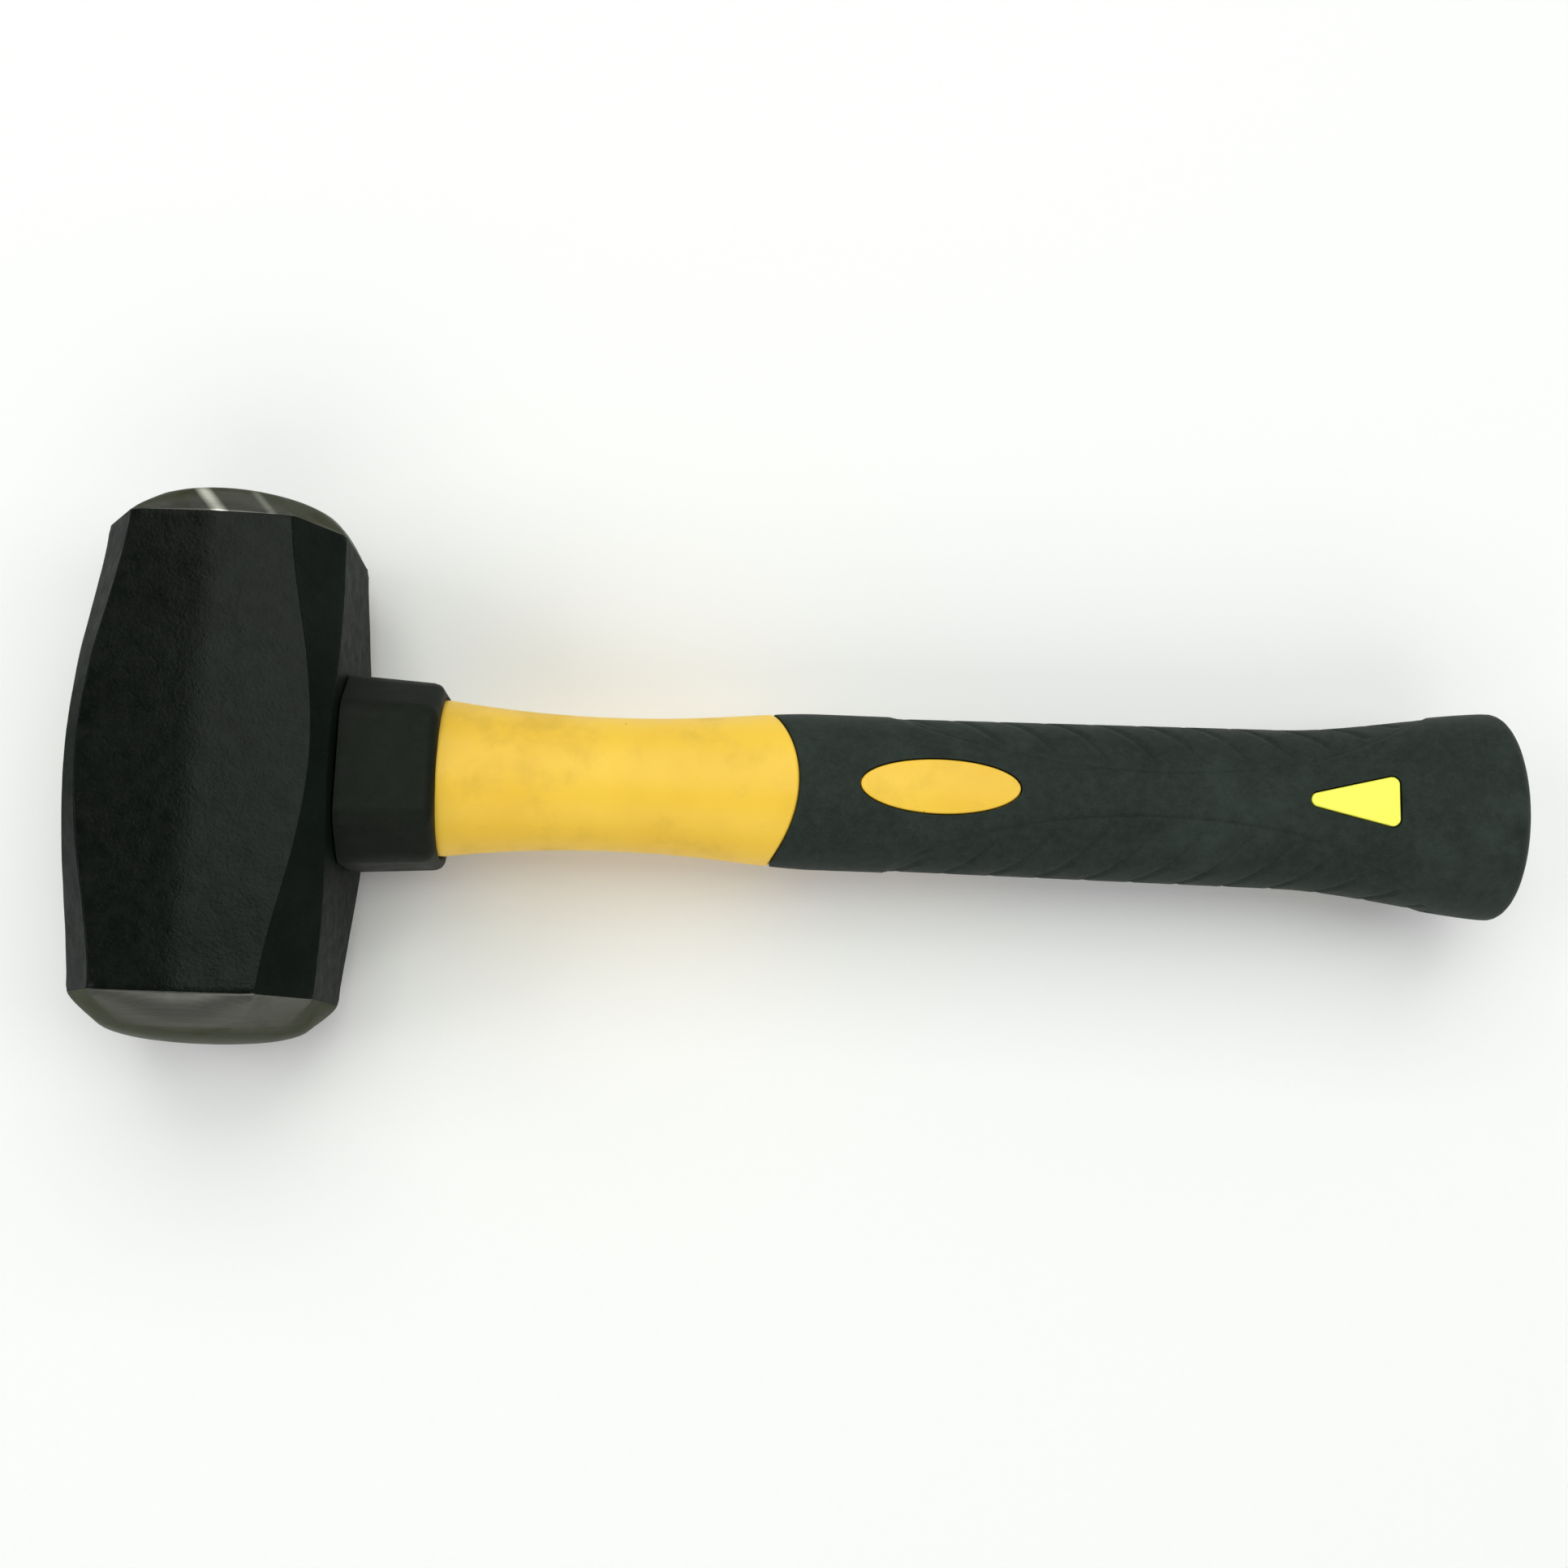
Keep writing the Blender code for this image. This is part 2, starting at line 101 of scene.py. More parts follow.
# The neck and the grip each stop this far short of the line where they meet
MEETING_GAP = 0.00008
PAD_RIM = 0.00035
ROUND_STEPS = 96
CORE_STEPS = 24
TRIANGLE_LENGTH = 0.0168
TRIANGLE_CORNER = 0.0014
SHARP_ANGLE = math.radians(38)
# Most of a noise texture's values lie between these two
NOISE_LOW, NOISE_HIGH = 0.3, 0.7

Color = tuple[float, float, float]
Profile = list[tuple[float, float]]
Solid = bmesh.types.BMesh
Vert = bmesh.types.BMVert
Edge = bmesh.types.BMEdge
Socket = bpy.types.NodeSocket
Setting = Union[Socket, float, tuple[float, ...]]


class Cheek(Enum):
    """Which of the hammer's two broad faces something is on."""

    FRONT = 1.0
    BACK = -1.0


class Cut(Enum):
    """How one solid is put together with another."""

    REMOVE = "DIFFERENCE"
    JOIN = "UNION"


# ---- Numbers -----------------------------------------


def smooth_share(value: float, start: float, end: float) -> float:
    """How far a value is from start to end, from 0 to 1, with soft ends."""
    share = min(max((value - start) / (end - start), 0.0), 1.0)
    return share * share * (3.0 - 2.0 * share)


def smooth_minimum(first: float, second: float, blend: float) -> float:
    """The lesser of two values, rounded off where they meet."""
    overlap = max(blend - abs(first - second), 0.0)
    return min(first, second) - overlap * overlap / (4.0 * blend)


def catmull_rom(rows: Sequence[tuple[float, ...]], place: float) -> tuple[float, ...]:
    """A smooth value between rows of numbers.

    Args:
        rows: The rows that the curve passes through.
        place: Where on the curve, counted in rows from 0.

    Returns:
        One number for each column.
    """
    index = min(int(place), len(rows) - 2)
    t = place - index
    before, first = rows[max(index - 1, 0)], rows[index]
    last, after = rows[index + 1], rows[min(index + 2, len(rows) - 1)]
    values = []
    for a, b, c, d in zip(before, first, last, after):
        values.append(
            0.5 * (2 * b + (c - a) * t + (2 * a - 5 * b + 4 * c - d) * t**2 + (3 * b - a - 3 * c + d) * t**3)
        )
    return tuple(values)


# ---- Materials ---------------------------------------


class NodeGraph:
    """The nodes of one material, with a short call for each kind that the finishes use."""

    def __init__(self, name: str) -> None:
        """Starts a material with its shader and Object coordinates."""
        self.material = bpy.data.materials.new(name)
        self.material.use_nodes = True
        self.tree = self.material.node_tree
        self.shader = self.tree.nodes["Principled BSDF"]
        self.position = self.tree.nodes.new("ShaderNodeTexCoord").outputs["Object"]

    def add(self, kind: str, inputs: dict[str | int, Setting], **settings: object) -> bpy.types.Node:
        """Adds a node.

        Args:
            kind: The node's type.
            inputs: A value or a socket to link for each input, by name or number.
            **settings: The node's own settings.

        Returns:
            The new node.
        """
        node = self.tree.nodes.new(kind)
        for name, value in settings.items():
            setattr(node, name, value)
        for key, value in inputs.items():
            self.put(node.inputs[key], value)
        return node

    def put(self, socket: Socket, value: Setting) -> None:
        """Links a socket into an input, or sets the input to a value."""
        if isinstance(value, Socket):
            self.tree.links.new(value, socket)
        else:
            socket.default_value = value

    def stretched(self, scale: tuple[float, float, float], turn: Color = (0.0, 0.0, 0.0)) -> Socket:
        """Object coordinates scaled along each axis, and turned first."""
        turned = self.add("ShaderNodeMapping", {"Vector": self.position, "Rotation": turn})
        return self.add("ShaderNodeMapping", {"Vector": turned.outputs[0], "Scale": scale}).outputs[0]

    def noise(
        self, scale: float, detail: float = 3.0, rough: float = 0.5, vector: Socket | None = None
    ) -> Socket:
        """Noise with this many lumps to the metre."""
        inputs = {"Vector": vector or self.position, "Scale": scale, "Detail": detail, "Roughness": rough}
        return self.add("ShaderNodeTexNoise", inputs).outputs["Fac"]

    def cells(self, scale: float) -> Socket:
        """Distance to the nearest of scattered points, this many to the metre."""
        inputs = {"Vector": self.position, "Scale": scale}
        return self.add("ShaderNodeTexVoronoi", inputs).outputs["Distance"]

    def span(
        self, source: Setting, start: float = NOISE_LOW, end: float = NOISE_HIGH,
        low: float = 0.0, high: float = 1.0,
    ) -> Socket:
        """Maps start to end onto low to high, and holds beyond."""
        inputs = {"Value": source, "From Min": start, "From Max": end, "To Min": low, "To Max": high}
        return self.add("ShaderNodeMapRange", inputs, clamp=True).outputs["Result"]

    def math(self, kind: str, first: Setting, second: Setting = 0.0, third: Setting = 0.0) -> Socket:
        """One sum on up to three values."""
        return self.add("ShaderNodeMath", {0: first, 1: second, 2: third}, operation=kind).outputs[0]

    def blend(self, share: Setting, first: Setting, second: Setting) -> Socket:
        """A colour between two others."""
        ends = [value if isinstance(value, Socket) else (*value, 1.0) for value in (first, second)]
        inputs = {"Factor": share, 6: ends[0], 7: ends[1]}
        return self.add("ShaderNodeMix", inputs, data_type="RGBA").outputs[2]

    def bump(
        self, height: Setting, depth: float, strength: float = 1.0, under: Socket | None = None
    ) -> Socket:
        """A normal that follows a height, this deep in metres."""
        inputs: dict[str | int, Setting] = {"Height": height, "Distance": depth, "Strength": strength}
        if under is not None:
            inputs["Normal"] = under
        return self.add("ShaderNodeBump", inputs).outputs["Normal"]

    def set(self, **values: Setting) -> None:
        """Sets or links the shader's inputs, named with _ for each space."""
        for name, value in values.items():
            title = name.replace("_", " ").title().replace("Ior", "IOR")
            self.put(self.shader.inputs[title], value)


@dataclass(frozen=True)
class Finish(ABC):
    """A surface finish: two tones, a span of roughness, and the way it is dressed."""

    name: str
    dark: Color
    light: Color
    smooth: float
    rough: float
    specular: float = 0.5
    metallic: float = 0.0

    def material(self) -> bpy.types.Material:
        """Makes the material, or returns it if it is there already."""
        if self.name in bpy.data.materials:
            return bpy.data.materials[self.name]
        graph = NodeGraph(self.name)
        graph.set(metallic=self.metallic, specular_ior_level=self.specular)
        self.dress(graph)
        return graph.material

    @abstractmethod
    def dress(self, graph: NodeGraph) -> None:
        """Gives the shader its colour, roughness and relief."""

    def tone(self, graph: NodeGraph, share: Setting) -> Socket:
        """A colour between the finish's two tones."""
        return graph.blend(share, self.dark, self.light)

    def dull(self, graph: NodeGraph, source: Setting) -> Socket:
        """A roughness within the finish's span, which follows a noise."""
        return graph.span(source, NOISE_LOW, NOISE_HIGH, self.smooth, self.rough)


@dataclass(frozen=True)
class ForgedPaint(Finish):
    """Satin black paint over a scaly forging."""

    grain: float = 1500.0
    lumps: float = 210.0

    def dress(self, graph: NodeGraph) -> None:
        """Adds cloudy tone, fine grain, dents and a few pale specks."""
        clouds = graph.noise(90.0, 4.0, 0.6)
        grain = graph.noise(self.grain, 3.0, 0.65)
        fine = graph.span(grain, NOISE_LOW, NOISE_HIGH, 0.0, 0.4)
        tone = graph.math("ADD", graph.span(clouds, 0.35, 0.65, 0.0, 0.6), fine)
        color = self.tone(graph, tone)
        specks = graph.span(graph.cells(420.0), 0.05, 0.11, 0.35, 0.0)
        dust = graph.math("MULTIPLY", specks, graph.span(graph.noise(60.0, 2.0), 0.5, 0.62))
        pale = tuple(5.0 * channel for channel in self.light)
        graph.set(base_color=graph.blend(dust, color, pale))
        graph.set(roughness=self.dull(graph, graph.noise(340.0, 4.0, 0.6)))
        dents = graph.bump(graph.noise(self.lumps, 2.0, 0.5), 0.00035, 0.35)
        graph.set(normal=graph.bump(grain, 0.00012, 0.6, dents))


@dataclass(frozen=True)
class GroundSteel(Finish):
    """Bright steel, turned and ground round the head's long axis."""

    rings: float = 1700.0
    edge: Color = (0.35, 0.36, 0.32)
    # The colour of the painted highlight on the +Y end
    painted_highlight: Color = (0.80, 0.81, 0.70)
    # Painted highlight on the +Y end: pale stripes in the base colour in place of a reflection: (x at the
    # barrel's edge, half width, strength)
    highlight_stripes: tuple[tuple[float, float, float], ...] = ((0.0016, 0.0018, 1.0), (0.0112, 0.0011, 0.22))
    highlight_lean: float = -0.86
    # The painted highlight stripes fade out below the rim beside the upper cheek: (z where gone, z where
    # full)
    highlight_heights: tuple[float, float] = (0.0370, 0.0440)

    def dress(self, graph: NodeGraph) -> None:
        """Adds turning rings, straight scratches, slight brown stains and a painted highlight on the +Y end.
        """
        place = graph.add("ShaderNodeSeparateXYZ", {0: graph.stretched((1.0, 1.0, 1.0))}).outputs
        radius = graph.add(
            "ShaderNodeVectorMath", {0: self._across(graph, place)}, operation="LENGTH"
        ).outputs["Value"]
        ring_vector = graph.add("ShaderNodeCombineXYZ", {0: radius}).outputs[0]
        turned = graph.noise(self.rings, 3.0, 0.7, ring_vector)
        scratches = graph.noise(260.0, 5.0, 0.7, graph.stretched((1.0, 1.0, 14.0), (0.0, 0.5, 0.0)))
        stains = graph.span(graph.noise(120.0, 3.0, 0.6), 0.5, 0.72)
        color = self.tone(graph, turned)
        brown = (self.dark[0] * 0.8, self.dark[1] * 0.68, self.dark[2] * 0.5)
        stained = graph.blend(graph.math("MULTIPLY", stains, 0.45), color, brown)
        # The pale stripes blended in here are a painted highlight, standing in for a reflection
        graph.set(base_color=graph.blend(self._highlight_share(graph, place, turned), stained, self.painted_highlight))
        graph.set(roughness=self.dull(graph, scratches))
        cut = graph.bump(turned, 0.00006, 0.5)
        graph.set(normal=graph.bump(scratches, 0.00004, 0.35, cut))
        graph.set(specular_tint=(*self.edge, 1.0))

    def _highlight_share(self, graph: NodeGraph, place: Sequence[Socket], turned: Socket) -> Socket:
        """How strong the painted highlight stripes are, broken up by the turning rings."""
        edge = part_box("head")[1].y - HammerHead.end_height
        out = graph.math("SUBTRACT", place[1], edge)
        leaning = graph.math("MULTIPLY_ADD", out, -self.highlight_lean, place[0])
        total: Setting = 0.0
        for middle, half_width, strength in self.highlight_stripes:
            off = graph.math("ABSOLUTE", graph.math("SUBTRACT", leaning, middle))
            total = graph.math("ADD", total, graph.span(off, 0.2 * half_width, half_width, strength, 0.0))
        on_end = graph.span(out, -0.0002, 0.0)
        low, high = self.highlight_heights
        on_rim = graph.span(place[2], low, high)
        grain = graph.span(turned, NOISE_LOW, NOISE_HIGH, 0.7, 1.0)
        for share in (on_end, on_rim, grain):
            total = graph.math("MULTIPLY", total, share)
        return total

    @staticmethod
    def _across(graph: NodeGraph, place: Sequence[Socket]) -> Socket:
        """The position across the head's long axis, from the middle of its depth."""
        height = graph.math("SUBTRACT", place[2], frame_middle().z)
        return graph.add("ShaderNodeCombineXYZ", {0: place[0], 2: height}).outputs[0]


@dataclass(frozen=True)
class GlossPlastic(Finish):
    """Moulded coloured plastic, handled and a little dirty."""

    dirt: Color = (0.30, 0.20, 0.05)
    soiled: float = 0.5

    def dress(self, graph: NodeGraph) -> None:
        """Adds faint clouds, grey smudges, specks and orange peel."""
        clouds = graph.span(graph.noise(45.0, 3.0, 0.5))
        color = self.tone(graph, clouds)
        smudges = graph.span(graph.noise(70.0, 5.0, 0.65), 0.52, 0.75, 0.0, 0.30 * self.soiled)
        specks = graph.span(graph.cells(260.0), 0.03, 0.075, 0.8, 0.0)
        rare = graph.span(graph.noise(85.0, 1.0), 0.56, 0.64, 0.0, self.soiled)
        soil = graph.math("MAXIMUM", smudges, graph.math("MULTIPLY", specks, rare))
        graph.set(base_color=graph.blend(soil, color, self.dirt))
        graph.set(roughness=graph.math("ADD", self.dull(graph, graph.noise(300.0, 4.0)), soil))
        peel = graph.bump(graph.noise(420.0, 2.0, 0.4), 0.00010, 0.25)
        graph.set(normal=graph.bump(graph.noise(1900.0, 2.0, 0.5), 0.00003, 0.3, peel))


@dataclass(frozen=True)
class MouldedRubber(Finish):
    """Dark rubber with a fine stipple."""

    stipple: float = 2300.0
    mottle: float = 150.0
    spots: float = 520.0

    def dress(self, graph: NodeGraph) -> None:
        """Adds mottled tone, pale dust in the stipple and a soft uneven skin."""
        mottle = graph.span(graph.noise(self.mottle, 5.0, 0.62), 0.32, 0.68)
        stipple = graph.noise(self.stipple, 2.0, 0.6)
        spots = graph.span(graph.noise(self.spots, 4.0, 0.7), 0.36, 0.64, 0.0, 0.4)
        grain = graph.math("ADD", spots, graph.span(stipple, 0.35, 0.65, 0.0, 0.25))
        tone = graph.math("MULTIPLY_ADD", mottle, 0.45, grain)
        color = self.tone(graph, tone)
        bloom = graph.span(graph.noise(34.0, 3.0, 0.6), 0.5, 0.72, 0.0, 0.5)
        pale = tuple(1.7 * channel for channel in self.light)
        graph.set(base_color=graph.blend(graph.math("MULTIPLY", bloom, mottle), color, pale))
        graph.set(roughness=graph.span(mottle, 0.0, 1.0, self.smooth, self.rough))
        skin = graph.bump(graph.noise(360.0, 3.0, 0.5), 0.00018, 0.3)
        graph.set(normal=graph.bump(stipple, 0.00007, 0.5, skin))


@dataclass(frozen=True)
class FibreEnd(Finish):
    """The sawn end and the sides of a pultruded glass fibre rod."""

    fibres: float = 2600.0

    def dress(self, graph: NodeGraph) -> None:
        """Adds fibre bundles, drawn out along the rod, and resin between them."""
        drawn = graph.stretched((0.04, 1.0, 1.0))
        bundles = graph.noise(self.fibres, 3.0, 0.7, drawn)
        bands = graph.noise(500.0, 2.0, 0.5, drawn)
        tone = graph.math("MULTIPLY", graph.span(bundles), graph.span(bands, 0.2, 0.6, 0.5, 1.0))
        graph.set(base_color=self.tone(graph, tone))
        graph.set(roughness=self.dull(graph, bundles))
        graph.set(normal=graph.bump(bundles, 0.00008, 0.6))


@dataclass(frozen=True)
class PouredResin(Finish):
    """Poured resin that has set with a skin."""

    def dress(self, graph: NodeGraph) -> None:
        """Adds clouds, pin bubbles and ripples."""
        clouds = graph.noise(190.0, 4.0, 0.6)
        bubbles = graph.span(graph.cells(700.0), 0.08, 0.2)
        graph.set(base_color=self.tone(graph, graph.span(clouds)))
        graph.set(roughness=self.dull(graph, clouds))
        ripples = graph.bump(clouds, 0.0003, 0.4)
        graph.set(normal=graph.bump(bubbles, 0.00008, 0.5, ripples))


@dataclass(frozen=True)
class StudioPaper(Finish):
    """Plain matt backdrop paper."""

    def dress(self, graph: NodeGraph) -> None:
        """Adds a barely visible tooth."""
        tooth = graph.noise(900.0, 2.0)
        graph.set(base_color=self.tone(graph, tooth))
        graph.set(roughness=self.dull(graph, tooth))


CHEEK_PAINT = ForgedPaint("cheek_paint", (0.0004, 0.0016, 0.0007), (0.0028, 0.0046, 0.0029), 0.20, 0.33, 0.13)
FLANK_PAINT = ForgedPaint("flank_paint", (0.0016, 0.0040, 0.0028), (0.0056, 0.0092, 0.0066), 0.48, 0.60, 0.05)
STEEL = GroundSteel("ground_steel", (0.060, 0.062, 0.054), (0.170, 0.172, 0.152), 0.26, 0.40, 0.5, 1.0)
AMBER = GlossPlastic("jacket_plastic", (0.84, 0.51, 0.040), (0.93, 0.60, 0.052), 0.34, 0.46, 0.35, soiled=0.9)
LEMON = GlossPlastic("inlay_plastic", (0.92, 0.90, 0.095), (0.98, 0.97, 0.120), 0.40, 0.52, 0.35, soiled=0.15)
GUARD = MouldedRubber("collar_moulding", (0.0030, 0.0050, 0.0026), (0.0080, 0.0108, 0.0068), 0.50, 0.64, 0.13)
GRIP = MouldedRubber("grip_moulding", (0.0065, 0.0112, 0.0084), (0.0225, 0.0325, 0.0265), 0.56, 0.76, 0.18)
ROD = FibreEnd("rod_fibreglass", (0.34, 0.28, 0.15), (0.66, 0.60, 0.42), 0.40, 0.62)
RESIN = PouredResin("eye_resin", (0.035, 0.030, 0.022), (0.085, 0.072, 0.050), 0.16, 0.34)
PAPER = StudioPaper("studio_paper", (0.94, 0.94, 0.94), (0.96, 0.96, 0.96), 0.85, 0.95, 0.1)


# ---- Solids ------------------------------------------


def turned(
    profile: Profile, height: float, steps: int = ROUND_STEPS, ovality: float = 1.0, closed: bool = False
) -> Solid:
    """Spins a profile round the handle's axis.

    Args:
        profile: (radius, x) for each point.
        height: The axis's height over the floor.
        steps: How many facets go round.
        ovality: Its depth along Z as a share of its height along Y.
        closed: Whether the profile's last point joins its first, as for a ring.

    Returns:
        A closed round or oval solid.
    """
    solid = bmesh.new()
    points = [solid.verts.new((x, radius, height)) for radius, x in profile]
    pairs = list(zip(points, points[1:])) + ([(points[-1], points[0])] if closed else [])
    edges = [solid.edges.new(pair) for pair in pairs]
    bmesh.ops.spin(
        solid, geom=points + edges, cent=(0.0, 0.0, height), axis=(1.0, 0.0, 0.0), angle=math.tau,
        steps=steps, use_merge=True,
    )
    mended(solid)
    if ovality != 1.0:
        flattened(solid, solid.verts, height, ovality)
    return solid


def mended(solid: Solid) -> Solid:
    """The same solid with its doubles merged and its faces turned outwards."""
    bmesh.ops.remove_doubles(solid, verts=solid.verts, dist=MERGE)
    bmesh.ops.dissolve_degenerate(solid, edges=solid.edges, dist=MERGE / 2)
    bmesh.ops.recalc_face_normals(solid, faces=solid.faces)
    return solid


def flattened(solid: Solid, verts: Iterable[Vert], height: float, share: float) -> None:
    """Scales points along Z about a height."""
    about = Matrix.Translation((0.0, 0.0, -height))
    bmesh.ops.scale(solid, vec=(1.0, 1.0, share), space=about, verts=list(verts))


def points_in(geometry: Iterable[object]) -> list[Vert]:
    """The points among what an operator gave back."""
    return [item for item in geometry if isinstance(item, Vert)]


def shift(moves: dict[Vert, Vector]) -> None:
    """Moves each point by its own vector, once all the vectors are known."""
    for vert, move in moves.items():
        vert.co += move


def to_object(name: str, solid: Solid) -> bpy.types.Object:
    """Puts a solid in a new object at the origin, and frees it."""
    mesh = bpy.data.meshes.new(name)
    solid.to_mesh(mesh)
    solid.free()
    obj = bpy.data.objects.new(name, mesh)
    bpy.context.scene.collection.objects.link(obj)
    return obj


def combined(body: Solid, tool: Solid, cut: Cut) -> Solid:
    """Joins or subtracts a second solid with an exact Boolean.

    Args:
        body: The solid that stays.
        tool: The solid that is joined or taken away.
        cut: Which of the two.

    Returns:
        A new solid. The two that went in are freed.
    """
    kept, other = to_object("boolean_body", body), to_object("boolean_tool", tool)
    modifier = kept.modifiers.new("cut", "BOOLEAN")
    modifier.operation, modifier.solver, modifier.object = cut.value, "EXACT", other
    bpy.context.view_layer.update()
    evaluated = kept.evaluated_get(bpy.context.evaluated_depsgraph_get())
    result = bmesh.new()
    result.from_mesh(evaluated.to_mesh())
    evaluated.to_mesh_clear()
    for obj in (kept, other):
        mesh = obj.data
        bpy.data.objects.remove(obj, do_unlink=True)
        bpy.data.meshes.remove(mesh)
    return result


def prism(plan: Solid, low: float, high: float) -> Solid:
    """Extrudes a flat plan from one height to another."""
    bmesh.ops.translate(plan, vec=(0.0, 0.0, low), verts=plan.verts)
    top = bmesh.ops.extrude_face_region(plan, geom=list(plan.faces))["geom"]
    bmesh.ops.translate(plan, vec=(0.0, 0.0, high - low), verts=points_in(top))
    return mended(plan)


def rounded_rim(solid: Solid, edges: Iterable[Edge], radius: float, segments: int) -> None:
    """Rounds edges over."""
    bmesh.ops.bevel(
        solid, geom=list(edges), offset=radius, offset_type="OFFSET", segments=segments, profile=0.5,
        affect="EDGES", material=-1, clamp_overlap=True,
    )


def frame_middle() -> Vector:
    """The middle of the head's box, which is where the handle's axis crosses it."""
    low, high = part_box("head")
    return (low + high) / 2


@dataclass(frozen=True)
class Piece:
    """One finished piece: what it is called, and what it stands for in the frame."""

    name: str
    node: str
    slot: str
    finishes: tuple[Finish, ...]

    def finish(self, solid: Solid) -> bpy.types.Object:
        """Makes the object, dresses it and ties it to the frame.

        Args:
            solid: The finished mesh, in its place.

        Returns:
            The new object.
        """
        obj = to_object(self.name, solid)
        for finish in self.finishes:
            obj.data.materials.append(finish.material())
        obj.data.shade_smooth()
        obj.data.set_sharp_from_angle(angle=SHARP_ANGLE)
        weighted = obj.modifiers.new("weighted_normals", "WEIGHTED_NORMAL")
        weighted.keep_sharp = True
        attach(obj, BODY)
        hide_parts(self.node)
        LOG.info("%s: %d faces, stands for %s", self.name, len(obj.data.polygons), self.node)
        return obj


# ---- Handle shape ------------------------------------


@dataclass(frozen=True)
class HandleShape:
    """The handle's oval outer shape, which the jacket, guard, grip and inlays share."""

    face: float
    butt: float
    axis: float
    ovality: float = 0.82
    waist_height: float = 0.0262
    waist_distance: float = 0.050
    waist_radius: float = 0.225
    seat_height: float = 0.0305
    palm_height: float = 0.0307
    palm_distance: float = 0.106
    palm_taper: float = 0.010
    flare_rise: float = 0.0042
    flare_length: float = 0.0465
    rounding: float = 0.006
    fullness: float = 3.0
    blend: float = 0.0015
    core_height: float = 0.0256
    end_wall: float = 0.006
    edge_distance: float = 0.0868
    edge_bulge: float = 0.0057

    def half_height(self, x: float) -> float:
        """Half the handle's height along Y, at x."""
        off_waist = x - self.face - self.waist_distance
        drop = math.sqrt(max(self.waist_radius**2 - off_waist**2, 0.0))
        neck = self.waist_height / 2 + self.waist_radius - drop
        palm = self.palm_height / 2 + self.palm_taper * max(x - self.face - self.palm_distance, 0.0)
        palm += self.flare_rise * smooth_share(x, self.butt - self.flare_length, self.butt)
        if off_waist < 0.0:
            return min(neck, self.seat_height / 2)
        return smooth_minimum(neck, palm, self.blend)

    def surface(self, x: float, y: float) -> float:
        """How far the handle's surface is from its axis along Z, at x and y."""
        half = self.half_height(x)
        return self.ovality * math.sqrt(max(half * half - y * y, 0.0))

    def edge(self, y: float) -> float:
        """x of the arc where the neck meets the grip, at y."""
        half = self.palm_height / 2
        radius = (half**2 + self.edge_bulge**2) / (2.0 * self.edge_bulge)
        return self.face + self.edge_distance - radius + math.sqrt(max(radius**2 - y * y, 0.0))

    def edge_at_sides(self) -> float:
        """x of the same arc at the handle's sides."""
        return self.edge(self.palm_height / 2)

    def core_end(self) -> float:
        """x of the end of the jacket's core inside the grip."""
        return self.butt - self.end_wall

    def core_depth(self) -> float:
        """How far the core's face is from the handle's axis along Z."""
        return self.ovality * self.core_height / 2

    def lip(self, place: float, size: float, angles: Sequence[float]) -> Profile:
        """(radius, x) round an edge of the skin that is rounded over.

        Args:
            place: x of the edge.
            size: The rounding's radius, negative where the skin lies towards the head.
            angles: How far round each point is, in degrees from the end's flat.

        Returns:
            A point for each angle.
        """
        points: Profile = []
        for angle in map(math.radians, angles):
            x = place + size * (1.0 - math.sin(angle))
            points.append((self.half_height(x) - abs(size) * (1.0 - math.cos(angle)), x))
        return points

    def bow(self, verts: Iterable[Vert], start: float, end: float) -> None:
        """Draws the points at end along X onto the arc, and those nearer start less.

        Args:
            verts: Points of a solid whose edge at the handle's sides lies at x = end.
            start: Where the points stay put.
            end: Where they follow the arc.
        """
        sides = self.edge_at_sides()
        for vert in verts:
            share = smooth_share(vert.co.x, start, end)
            vert.co.x += share * (self.edge(vert.co.y) - sides)


